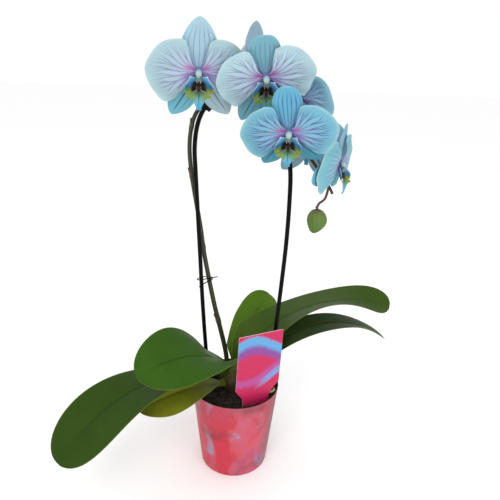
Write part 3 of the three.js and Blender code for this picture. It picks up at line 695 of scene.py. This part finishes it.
def make_blooms():
    rounder = lambda t: 1 - (1 - t) ** 1.3
    tepal = lambda surface, rows, columns: shell(surface, tepal_thickness, rows, columns, rounder)
    tapered = lambda radius: lambda t, angle: radius * (1 - 0.8 * t**1.5)
    for name, bloom in BLOOMS.items():
        where = bloom_matrix(bloom)
        left_under, right_under = bloom.under
        low_ink, vein = "#40607c", bloom.vein
        looks = [
            petal_look(name + "_petal_skin", bloom),
            sepal_look(name + "_upper_skin", bloom.upper, bloom.ink, vein * 0.85, 3.4, 0.0),
            sepal_look(name + "_left_skin", left_under, low_ink, vein * 0.6, 2.2, 0.7),
            sepal_look(name + "_right_skin", right_under, low_ink, vein * 0.6, 2.2, 0.45),
            column_look(name + "_column_skin"),
            TOOTH_LOOK,
            FOOT_LOOK,
        ]
        parts = [(heart_part(), 6), (column_part(), 4)]
        parts += [(tube(route, tapered(radius), 10, 12), 5) for route, radius in TEETH]
        for side, tilt, sweep in zip((-1, 1), bloom.petals, bloom.sweep):
            surface = petal_surface(side, tilt, sweep, bloom.low)
            parts.append((facing(tepal(surface, 40, 64), side), 0))
        parts.append((tepal(sepal_surface(*bloom.dorsal), 36, 24), 1))
        turn_left, turn_right = bloom.lower
        for heading, reach, look in zip((180 - turn_left, turn_right), bloom.reach, (2, 3)):
            lateral = sepal_surface(reach, bloom.broad, heading, *LATERAL)
            parts.append((tepal(lateral, 36, 24), look))
        piece(name + "_flower", name, parts, looks, where=where)
        make_lip(name, where)


# Lip: a middle lobe with two round shoulders and a narrow tip, and an upright wing on each side,
# cupped towards the column

LIP = Shape(root=-13, tip=-38, neck=3, shoulder=14, shoulder_at=0.34, tongue=9.5)
WING = Shape(top=-2.8, fall=17.2, inner=10, swell=6.5, tuck=2, height=6, rise=8, cup=2.2)


def lip_middle(u, v):
    bell = np.exp(-(((u - LIP.shoulder_at) / 0.13) ** 2))
    shoulders = lerp(LIP.neck, LIP.shoulder, bell)
    tongue = 1.3 + LIP.tongue * (1 - np.clip((u - 0.3) / 0.7, 0, 1) ** 0.8)
    half = np.where(u > LIP.shoulder_at, np.maximum(shoulders, tongue), shoulders)
    cupped = 3 * bell * v**2
    rib = 0.5 * np.exp(-((v * half / 1.2) ** 2))
    frill = 0.5 * bell * v**2 * np.sin(u * 40)
    z = 9 + 6 * np.sin(u * 2.2) + cupped - rib + frill
    return np.stack([v * half, lerp(LIP.root, LIP.tip, u), z], -1)


def lip_side(side):
    def surface(u, v):
        t = (v + 1) / 2
        share = np.maximum(u, 1e-6) ** 0.9
        step = np.clip(t / 0.65, 0, 1)
        bulge = step * step * (3 - 2 * step)
        rim_x = WING.inner + WING.swell * bulge - WING.tuck * t**3
        rim_y = WING.top - WING.fall * t
        rim_z = WING.height + WING.rise * np.sin(np.pi / 2 * np.minimum(1.3 * t, 1))
        base_y, base_z = -5 - 12 * t, 3.2 + 4.8 * t
        cup = WING.cup * np.sin(np.pi * u) * np.sin(np.pi * t)
        x, y, z = lerp(3.2, rim_x, share), lerp(base_y, rim_y, share), lerp(base_z, rim_z, share)
        return np.stack([side * x, y, z - cup], -1)

    return surface


THROAT = ((-4, 2.6, 2.1), (-9, 4.1, 2.8), (-14, 6.5, 4.6), (-18, 9.5, 3))


def throat_part():
    rings = [
        ring(20, lambda angle: (half * cos(angle), y + 1.6 * sin(angle), z + 1.6 * sin(angle)))
        for y, z, half in THROAT
    ]
    return facing(loft(rings), -1)


def callus_part():
    """The raised olive lump in the throat, between the two dark blotches."""
    def place(tilt, angle):
        x, y = 2.3 * sin(tilt) * cos(angle), -15 + 2.8 * sin(tilt) * sin(angle)
        return x, y, 9.5 - 2.6 * cos(tilt)

    return ball(8, 16, 0.04, place)


def lip_middle_look():
    """Dark olive at the throat, yellow-green shoulders with orange ends, and a pale blue tip."""
    look = Look("lip_middle_skin", 0.45, specular=0.3)
    across, along = look.uv()
    blend = look.noise(500) * 0.1
    wide = abs(across)
    shoulder = wide.rise(0.2, 0.7) * along.rise(0.16, 0.3) * along.fall(0.36, 0.64)
    # glint is a painted highlight along the upper edge of the shoulders.
    glint = wide.rise(0.46, 0.54) * wide.fall(0.62, 0.72) * along.fall(0.18, 0.24)
    centre = stroke(across, 0.09) * along.rise(0.15, 0.3) * along.fall(0.6, 0.9)
    fan = across * 3.2 + blend * 2
    look.colour(
        look.ramp(
            along + blend, (0, "#0c0c08"), (0.2, "#1e2612"), (0.36, "#528060"), (0.46, "#5c948e"),
            (0.62, "#5ca0b8"), (0.9, "#4898bc"),
        ),
        (shoulder, "#68841e"),
        (wide.rise(0.8, 1) * along.fall(0.42, 0.5) * 0.4, "#a4701a"),
        (glint * 0.4, "#b2b48c"),
        (centre * 0.7, "#22423c"),
        (stroke(fan - fan.nearest(), 0.12) * 0.25, "#22546e"),
    )
    look.bump(look.noise(800))
    return look


def lip_side_look():
    """Steel-blue wing with a white upper rim, turning green and then orange at its lower end."""
    look = Look("lip_side_skin", 0.5, specular=0.12)
    across, along = look.uv()
    blend = look.noise(400) * 0.2
    down = (across + blend) * 0.5 + 0.5
    edge = along + blend + (1.0 - down) * 0.3
    rim = along.rise(0.88, 0.97).max(across.fall(-0.98, -0.86))
    trim = look.ramp(
        down, (0, "#c6d6dc"), (0.35, "#a6c4d2"), (0.6, "#548caa"), (0.78, "#7e9034"), (1, "#96761e")
    )
    look.colour(
        look.ramp(
            down, (0, "#689cbe"), (0.3, "#34709e"), (0.62, "#285e84"), (0.78, "#466c34"),
            (0.9, "#70821e"), (1, "#8c821c"),
        ),
        (along.rise(0.35, 0.8) * down.fall(0.3, 0.55) * 0.45, "#82b0ce"),
        (edge.fall(0.3, 0.62) * down.rise(0.2, 0.46), "#09080c"),
        (rim * 0.75, trim),
    )
    look.bump(look.noise(800))
    return look


LIP_LOOKS = [
    lip_middle_look(),
    lip_side_look(),
    flecked_look("throat_skin", 0.55, 0.1, (420, 2), (900, 2, 0.0004), (0.4, "#0a0808"), (0.62, "#281014")),
    flecked_look("callus_skin", 0.5, 0.15, (520, 2), (900, 2, 0.0004), (0.35, "#0e0c08"), (0.6, "#2e2e12")),
]


def make_lip(name, where):
    parts = [
        (throat_part(), 2),
        (callus_part(), 3),
        (shell(lip_middle, tepal_thickness, 36, 20), 0),
        (shell(lip_side(1), tepal_thickness, 20, 28), 1),
        (facing(shell(lip_side(-1), tepal_thickness, 20, 28), -1), 1),
    ]
    piece(name + "_lip_lobes", name + "_lip", parts, LIP_LOOKS, where=where)


# Flower spike, its stalks and the bud

SPIKE_ROUTE = [
    (-12.1, 13.8, 141), (-16, 15, 168), (-26, 17, 211), (-33, 18, 241), (-45, 19, 305),
    (-50, 20, 342), (-56, 20, 379), (-61, 19, 413), (-63, 18, 447), (-59, 17, 475),
    (-50, 16, 493), (-34, 15, 512), (-13, 13, 522), (11, 11, 519), (34, 9, 501), (54, 7, 473),
    (74, 5, 446), (81, 6, 440.5), (92.6, 9, 426.2), (109, 12, 403.5), (114, 12, 394.5),
]
SPIKE_NODES = (0.12, 0.3, 0.46, 0.56)
STALKS = {
    "bloom_1": [(-52, 16, 490), (-53, 13, 510)],
    "bloom_2": [(-9, 13, 522), (-5, 20, 531)],
    "bloom_3": [(13, 11, 518), (20, 4, 530)],
    "bloom_4": [(34, 9, 501), (46, 12, 503)],
    "bloom_5": [(56, 7, 470), (57, -12, 479)],
    "bloom_6": [(76, 5, 445), (84, 8, 450)],
    "bloom_7": [(95, 9.4, 423), (100, 14, 431)],
}
BUD_STALK = [(109, 12, 403.5), (105, 8, 389.5), (97.5, 3, 384), (94.4, 0, 378.6)]
BUD = Shape(centre=(96, 0, 362.5), radii=(12.6, 11.5, 15.3), point=0.14, lean=4.5, tilt=-8)


def spike_radius(t, angle):
    taper = lerp(3.3, 1.7, t**1.4)
    swell = sum(exp(-(((t - at) / 0.006) ** 2)) for at in SPIKE_NODES)
    return taper * (1 + 0.2 * swell + 0.02 * sin(3 * angle))


def bract_part(at):
    """A short dry scale that clasps the stem at a node."""
    path = smooth_path(SPIKE_ROUTE, 400)
    i = int(at * 400)
    foot, ahead = path[i], unit(path[i + 4] - path[i])
    side = unit(np.cross(ahead, (0.2, 1.0, 0.1)))
    other = np.cross(ahead, side)
    radius = spike_radius(at + 0.02, 0) + 0.35

    def surface(u, v):
        turn = v * 1.5 * (1 - 0.75 * u**1.5)
        reach = radius + 0.9 * u**2
        ring = side * np.cos(turn)[..., None] + other * np.sin(turn)[..., None]
        return foot + ahead * (u * 9.5)[..., None] + ring * reach[..., None]

    return shell(surface, lambda u, v: 0.45 + 0 * u, 14, 12)


def spike_look():
    look = Look("spike_skin", 0.45, specular=0.4)
    around, along = look.uv()
    base = look.ramp(
        along, (0, "#323418"), (0.25, "#282c15"), (0.5, "#282f16"), (0.75, "#2e2e1c"), (1, "#302820")
    )
    streak = look.noise(3, 3, look.joined(around * 3, along * 14))
    speck = look.noise(500, 3)
    look.colour(look.shade(base, streak * 0.5 + speck * 0.3))
    look.bump(speck)
    return look


def make_spike():
    parts = [(tube(SPIKE_ROUTE, spike_radius, 20, 320), 0)]
    for name, start in STALKS.items():
        where = bloom_matrix(BLOOMS[name])
        route = start + [tuple(where @ Vector((0, 0, z))) for z in (-14, -5)]
        swelling = lambda t, angle: 1.5 * (1.1 - 0.15 * t) * (1 + 0.1 * sin(6 * angle) * (t > 0.5))
        parts.append((tube(route, swelling, 14, 30), 1))
    parts.append((tube(BUD_STALK, lambda t, angle: 1.6 - 0.2 * t + 0.5 * t**8, 14, 30), 1))
    for at in SPIKE_NODES:
        parts.append((bract_part(at), 2))
    stalk_stops = (0, "#3a241c"), (0.6, "#4a2e2c"), (1, "#56383c")
    looks = [
        spike_look(),
        mottled_look("stalk_skin", 0.45, stalk_stops, (300, 3, 0.5), (600, 2, 0.0004), 0.4),
        mottled_look("bract_skin", 0.7, "#705c3a", (260, 3, 0.9), (500, 2, 0.0005)),
    ]
    piece("spike_stem", "flower_spike", parts, looks, crease=60)


def bud_look():
    look = Look("bud_skin", 0.5, specular=0.35)
    around, along = look.uv()
    turns = around * 14 + look.noise(70) * 0.3
    ribs = stroke(turns - turns.nearest(), 0.2)
    base = look.ramp(along, (0, "#56782a"), (0.45, "#4a6e22"), (0.8, "#54682a"), (0.95, "#5c3c46"))
    cloudy = look.shade(base, look.noise(60, 3) * 0.24)
    look.colour(cloudy, (ribs * (along * 0.24 + 0.14), "#685c3c"))
    look.bump(ribs * -0.6 + look.noise(600) * 0.2, 0.0008)
    return look


def make_bud():
    across, deep, tall = BUD.radii

    def place(tilt, angle):
        height = -cos(tilt)
        low = max(-height, 0) ** 2
        seam = 1 - 0.02 * abs(sin(1.5 * angle + 0.4)) ** 0.5 * sin(tilt)
        full = (1 + 0.06 * height - 0.03 * height**2) * (1 - BUD.point * low) * seam
        x = across * sin(tilt) * cos(angle) * full - BUD.lean * low
        return x, deep * sin(tilt) * sin(angle) * full, tall * height

    parts, hanging = [(ball(40, 60, 0.01, place), 0)], place_at(BUD.centre, (BUD.tilt, "Y"))
    piece("bud_skin", "bud", parts, [bud_look()], where=hanging)


# Crown and aerial root

CROWN_RINGS = ((92, 10), (112, 13), (125, 13.2), (136, 9.8), (147, 8), (152, 5.5))


def make_crown():
    heights, widths = zip(*CROWN_RINGS)

    def place(z, angle):
        sheath = 0.5 * ((z / 7.5) % 1.0)
        fluting = 1 - 0.05 * sin(3 * angle + z * 0.2) ** 2
        reach = np.interp(z, heights, widths) * fluting - sheath
        return -4 + reach * cos(angle), 5 + reach * sin(angle), z

    rings = [ring(48, partial(place, z)) for z in range(heights[0], heights[-1] + 1)]
    stops = (0, "#2c2214"), (0.45, "#42361e"), (0.75, "#605a2e"), (1, "#5e7230")
    looks = [mottled_look("crown_skin", 0.55, stops, (300, 3, 0.5), (240, 3, 0.001), wobble=(60, 2, 0.3))]
    piece("crown_stem", "crown", [(loft(rings), 0)], looks)


ROOT_ROUTE = [
    (36, -15, 102), (37, -17, 118), (43, -20, 122.5), (49, -20.5, 123.5), (53.5, -15.5, 123.5),
    (53, -9, 121), (51, -4, 115), (50, -3, 102),
]


def make_root():
    knobbly = lambda t, angle: 1.7 * (1 + 0.07 * sin(31 * t + angle) + 0.05 * sin(71 * t))
    loop = tube(ROOT_ROUTE, knobbly, 18, 90)
    stops = (0.25, "#705a3a"), (0.5, "#9c8258"), (0.75, "#b0a07c")
    looks = [flecked_look("root_skin", 0.75, 0.5, (140, 3), (420, 3, 0.0008), *stops)]
    piece("root_loop", "aerial_root", [(loop, 0)], looks)


# Growing medium: a rough top of bark pieces with a few thin roots

POT = Shape(rim=60, base=46.8, height=124, wall=1.2, floor=1.5)


def pot_inner(z):
    return POT.base + (POT.rim - POT.base) * z / POT.height - POT.wall


def bark_height(x, y):
    coarse = sin(x * 0.19 + 1.3) * cos(y * 0.23 - 0.4)
    return 114 + 2.4 * (coarse + sin(x * 0.53 - y * 0.31) * 0.6)


def bark_look(name, low, high):
    grain = 120, 4, None, (1, 1, 3)
    return flecked_look(name, 0.9, 0.5, grain, (500, 4, 0.002), (0.3, low), (0.7, high))


# Middle and radius of the crown, the hoop's two legs and the root's two ends
STEMS = ((-4, 5, 14), (-38, 12, 4), (46, -10, 4), (36.5, -16, 3), (50.5, -3.5, 3))


def clear_of_stems(x, y, reach):
    """True where a bark piece would miss the crown, the hoop, the root and the label."""
    if any(hypot(x - a, y - b) < r + reach for a, b, r in STEMS):
        return False
    (x0, y0), (x1, y1) = LABEL.left, LABEL.right
    dx, dy = x1 - x0, y1 - y0
    along = ((x - x0) * dx + (y - y0) * dy) / hypot(dx, dy)
    off = abs((x - x0) * dy - (y - y0) * dx) / hypot(dx, dy)
    return not (off < reach + 1 and 2 < along < 50)


def bark_chip(rng):
    """One splinter of bark at the middle of the pot, as an irregular closed body."""
    x, y, reach = 0.0, 0.0, 0.0
    for _ in range(60):
        reach = rng.uniform(3, 7)
        spread = (pot_inner(112) - reach - 1) * sqrt(rng.random())
        angle = rng.uniform(0, 2 * pi)
        x, y = spread * cos(angle), spread * sin(angle)
        if clear_of_stems(x, y, reach * 0.7):
            break
    else:
        return None
    spin, lean = rng.uniform(0, 2 * pi), rng.gauss(0, 0.35)
    turn = Matrix.Rotation(spin, 3, "Z") @ Matrix.Rotation(lean, 3, "X")
    shape = bmesh.new()
    for _ in range(16):
        p = Vector([rng.gauss(0, 1) for _ in range(3)]).normalized()
        p = Vector((p.x * reach, p.y * reach * 0.5, p.z * reach * 0.28))
        shape.verts.new(turn @ p + Vector((x, y, bark_height(x, y) + reach * 0.1)))
    made = bmesh.ops.convex_hull(shape, input=shape.verts)
    bmesh.ops.delete(shape, geom=made["geom_interior"], context="VERTS")
    bmesh.ops.recalc_face_normals(shape, faces=shape.faces)
    shape.verts.index_update()
    points = np.array([v.co[:] for v in shape.verts])
    faces = [tuple(v.index for v in f.verts) for f in shape.faces]
    shape.free()
    return points, faces, np.zeros((len(points), 2))


def make_medium():
    rng = random.Random(SEED)
    bottom = POT.floor + 0.3

    def level_ring(radius, z):
        return ring(120, lambda angle: (radius * cos(angle), radius * sin(angle), z))

    def rough_ring(radius):
        flat = level_ring(radius, 0)
        return [(x, y, bark_height(x, y) - 1) for x, y, _ in flat]

    rings = [level_ring(pot_inner(bottom) - 0.3, bottom), level_ring(pot_inner(108) - 0.5, 108)]
    rings += [rough_ring((pot_inner(112) - 0.6) * r / 24) for r in range(24, 0, -1)]
    parts = [(loft(rings), 0)]
    for n in range(240):
        chip = bark_chip(rng)
        if chip is not None:
            parts.append((chip, n % 3))
    for n in range(4):
        angle = -2.6 + n * 0.7
        route = []
        for step in range(5):
            spread = 20 + step * 7 + rng.uniform(-2, 2)
            a = angle + 0.13 * step * rng.choice((-1, 1))
            x, y = spread * cos(a), spread * sin(a)
            route.append((x, y, bark_height(x, y) + rng.uniform(-0.5, 2.2)))
        parts.append((tube(route, lambda t, angle: 0.55 - 0.25 * t, 8, 24), 1))
    looks = [
        bark_look("bark_dark", "#0d0907", "#2a1c13"),
        bark_look("bark_brown", "#150e0a", "#3e291b"),
        bark_look("bark_grey", "#120f0c", "#342a22"),
    ]
    piece("bark_bed", "growing_medium", parts, looks, crease=35)


# Pot: thin tapered wall with a printed outside and a dark inside


def print_look():
    """A made-up print: rosy ground, marbled with soft patches of lavender, sky blue and plum, with painted
    shade in plum down the pot's right side.
    """
    look = Look("pot_print", 0.42, specular=0.3)
    around, height = look.uv()
    drift = look.noise(14, 3)
    feather = look.noise(5, 3, look.joined(around * 26, height * 1.6))
    ground = look.ramp(height + drift * 0.5, (0, "#b82e42"), (0.45, "#be283c"), (1, "#ae3e50"))
    cloud = look.noise(19, 3, stretch=(1, 1, 0.6)) + drift * 0.2
    sky = look.noise(31, stretch=(1.2, 1.2, 0.7)).rise(0.1, 0.26)
    marble = look.noise(25, 3, stretch=(0.8, 0.8, 1.1)).rise(0, 0.28)
    # Painted shade: a darker plum band down the pot's right side, fading out towards its foot.
    right_side_shade = (around * (2 * pi) - 0.1).sin().rise(0.5, 1) * height.rise(0, 0.3)
    look.colour(
        look.shade(ground, feather * 0.3),
        (cloud.rise(-0.02, 0.28) * 0.5, "#886892"),
        (stroke(cloud - 0.06, 0.06) * 0.14, "#ce96a4"),
        (sky * 0.66, "#649ebe"),
        # The plum coat is the print's marbling and, down the right side, painted shade.
        (marble.max(right_side_shade) * 0.72, "#54262e"),
    )
    look.roughness(drift * 0.1 + 0.42)
    look.bump(look.noise(60), 0.0006)
    return look


def turned(profile, sides=176):
    """A surface turned about the z axis, with a seam at the back of its UV."""
    points, uv, faces = [], [], []
    for row, (r, z) in enumerate(profile):
        for k in range(sides + 1):
            angle = 2 * pi * k / sides - pi / 2
            points.append((r * cos(angle), r * sin(angle), z))
            uv.append((k / sides, z / POT.height))
            if row and k:
                last, below = len(points) - 1, len(points) - 2 - sides
                faces.append((below - 1, below, last, last - 1))
    return np.array(points), faces, np.array(uv)


def make_pot():
    rim, base, height, floor = POT.rim, POT.base, POT.height, POT.floor
    radius_at = lambda z: base + (rim - base) / height * z
    outside = [(0, 0), (base - 5, 0), (base - 4, 0.8), (base - 3, 0.8), (base - 2, 0)]
    for k in range(1, 7):
        angle = k / 6 * pi / 2
        outside.append((base - 2 + 2 * sin(angle), 2 - 2 * cos(angle)))
    for z in 2 + (height - 2.6) * np.arange(1, 41) / 40:
        outside.append((radius_at(z), z))
    inside = []
    for k in range(1, 7):
        angle = k / 6 * pi
        inside.append((rim - 0.6 + 0.6 * cos(angle), height - 0.6 + 0.6 * sin(angle)))
    for k in range(1, 21):
        z = height - 0.6 - (height - 0.6 - floor) * k / 20
        inside.append((radius_at(z) - POT.wall, z))
    inside.append((0, floor))
    parts = [(turned(outside + inside[:1]), 0), (turned(inside), 1)]
    inside_look = mottled_look("pot_inside", 0.6, "#3a2216", (90, 3, 0.6), (300, 2, 0.0004))
    piece("pot_wall", "pot", parts, [print_look(), inside_look], crease=45, welded=True)


# Support hoop, twist tie and stem clip

HOOP_ROUTE = [
    (-38, 12, 22), (-38, 12, 110), (-42.5, 11, 171), (-47, 11, 243), (-51, 11, 330),
    (-55, 11, 414), (-56, 11, 448), (-52, 11, 475), (-43, 10, 494), (-28, 8, 508), (-9, 6, 512),
    (9, 6, 506), (24, 4, 494), (41, 1, 475), (54, -4, 449), (59, -8, 425), (60, -9, 388),
    (59, -10, 337), (56, -10, 282), (51.5, -10, 212), (46, -10, 110), (43, -9, 22),
]
TIE = Shape(centre=(-44.1, 14.9), length=11.3, width=6.1, heading=39, height=275.5, climb=-4.5)


def coating_look(name, colour):
    look = Look(name, 0.35, specular=0.07)
    look.colour(look.shade(colour, look.noise(160, 3.0) * 0.6))
    look.roughness(look.noise(240, 3.0) * 0.2 + 0.36)
    look.bump(look.noise(700), 0.0002)
    return look


def make_hoop():
    wire = tube(HOOP_ROUTE, lambda t, angle: 2.72, 24, 300)
    looks = [coating_look("hoop_coating", "#090806")]
    piece("hoop_wire", "support_hoop", [(wire, 0)], looks)


def make_tie():
    heading, height, (x, y) = radians(TIE.heading), TIE.height, TIE.centre
    route = [(-27, 8, height + 4), (-34, 9, height + 1.8)]
    for k in range(15):
        angle = radians(-90 - 360 * k / 14)
        spot = Vector((TIE.length * cos(angle), TIE.width * sin(angle)))
        spot.rotate(Matrix.Rotation(heading, 2))
        route.append((x + spot.x, y + spot.y, height + TIE.climb * k / 14))
    route += [(-46, 8, height - 7.5), (-51, 6.5, height - 11)]
    wire = tube(route, lambda t, angle: 0.68 * (1 - 0.12 * cos(2 * angle)), 12, 160)
    looks = [coating_look("tie_coating", "#080706")]
    piece("tie_wire", "twist_tie", [(wire, 0)], looks)


def dress_clip():
    look = coating_look("clip_plastic", "#161616")
    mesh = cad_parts["stem_clip"].data
    mesh.materials.clear()
    mesh.materials.append(look.material)


# Plant label: a flat printed card on a stem

LABEL = Shape(left=(4, -46), right=(61, -19), thickness=0.8)
LABEL_OUTLINE = [
    (-31, 220), (-34, 140), (-24.5, 127), (-22.5, 96), (13, 96), (15.2, 128), (28.7, 142), (32, 220),
]


def label_look():
    """A made-up print: hot pink ground, waved sky-blue bands with violet shade and feathering."""
    look = Look("label_print", 0.4, specular=0.3)
    x, y = look.uv()
    feather = look.noise(4, 3, look.joined(x * 14, y * 2.4))
    wave = y - 0.8 - (x * 3.4 + 0.4).sin() * 0.12 + feather * 0.08
    second = y - 0.36 + (x * 3 + 0.9).sin() * 0.14 + feather * 0.08
    low = second.rise(-0.1, -0.05) * second.fall(0.02, 0.06) * x.rise(0.35, 0.75)
    look.colour(
        look.shade("#b62250", feather * 0.3),
        (wave.rise(-0.14, -0.08) * wave.fall(0.03, 0.08) * 0.92, "#4c9ccc"),
        (stroke(wave + 0.14, 0.06) * 0.8, "#6e4696"),
        (low * 0.85, "#6096ce"),
        (stroke(second - 0.07, 0.05) * 0.5, "#965aaa"),
    )
    return look


def make_label():
    """The card, its corners rounded."""
    corners = [Vector(p) for p in LABEL_OUTLINE]
    outline = []
    for i, corner in enumerate(corners):
        before = (corners[i - 1] - corner).normalized()
        after = (corners[(i + 1) % len(corners)] - corner).normalized()
        start, end = corner + before * 1.6, corner + after * 1.6
        for t in (0, 0.25, 0.5, 0.75, 1):
            outline.append(start * (1 - t) ** 2 + corner * 2 * t * (1 - t) + end * t**2)
    (x0, y0), (x1, y1) = LABEL.left, LABEL.right
    heading = degrees(atan2(y1 - y0, x1 - x0))
    place = place_at(((x0 + x1) / 2, (y0 + y1) / 2, 0), (heading, "Z"))
    half, count = LABEL.thickness / 2, len(outline)
    points = [(p.x, y, p.y) for y in (-half, half) for p in outline]
    uv = [((x + 34) / 66, (z - 120) / 100) for x, _, z in points]
    following = [(k + 1) % count for k in range(count)]
    rim = [(f, k, k + count, f + count) for k, f in enumerate(following)]
    sheets = [tuple(range(count)), tuple(range(2 * count - 1, count - 1, -1))]
    shaped = lambda faces: (np.array(points), faces, np.array(uv))
    parts = [(shaped(sheets), 0), (shaped(rim), 1)]
    looks = [label_look(), mottled_look("label_edge", 0.5, "#e2d0da", (300, 2, 0.2))]
    piece("label_card", "plant_label", parts, looks, crease=1, welded=True, where=place)


# Stage, light and camera

LAMPS = (
    ("key", (-0.35, -1.5, 1.6), 1.0, 12),
    ("fill", (1.1, -1.3, 0.7), 1.2, 7),
)


def make_stage():
    mesh = bpy.data.meshes.new("floor")
    mesh.from_pydata([(-6, -6, 0), (6, -6, 0), (6, 9, 0), (-6, 9, 0)], [], [(0, 1, 2, 3)])
    mesh.materials.append(mottled_look("floor_white", 0.9, "#fdfdfd", (2, 2, 0.004)).material)
    add("floor", mesh)


def make_light():
    world = bpy.data.worlds.new("studio")
    world.use_nodes = True
    backdrop = world.node_tree.nodes["Background"].inputs
    backdrop["Color"].default_value = (1, 1, 1, 1)
    backdrop["Strength"].default_value = 1.0
    bpy.context.scene.world = world
    for name, place, size, power in LAMPS:
        lamp = bpy.data.lights.new(name, "AREA")
        lamp.size = size
        lamp.energy = power
        holder = add(name, lamp)
        holder.location = place
        aim = Vector((0, 0, 0.3)) - Vector(place)
        holder.rotation_euler = aim.to_track_quat("-Z", "Y").to_euler()
    bpy.context.scene.view_settings.view_transform = "Standard"


CAMERA = Shape(place=(0.0144, -0.612, 0.550), pitch=20.5, roll=1.87, focal=516, pixels=500)


def make_camera():
    lens = bpy.data.cameras.new("camera")
    lens.sensor_width = 36
    lens.lens = CAMERA.focal / CAMERA.pixels * lens.sensor_width
    camera = add("camera", lens)
    camera.matrix_world = place_at(CAMERA.place, (90 - CAMERA.pitch, "X"), (CAMERA.roll, "Z"))
    bpy.context.scene.camera = camera


make_camera()
make_light()
make_stage()
make_pot()
make_medium()
make_crown()
make_root()
make_leaves()
make_spike()
make_bud()
make_blooms()
make_hoop()
make_tie()
dress_clip()
make_label()
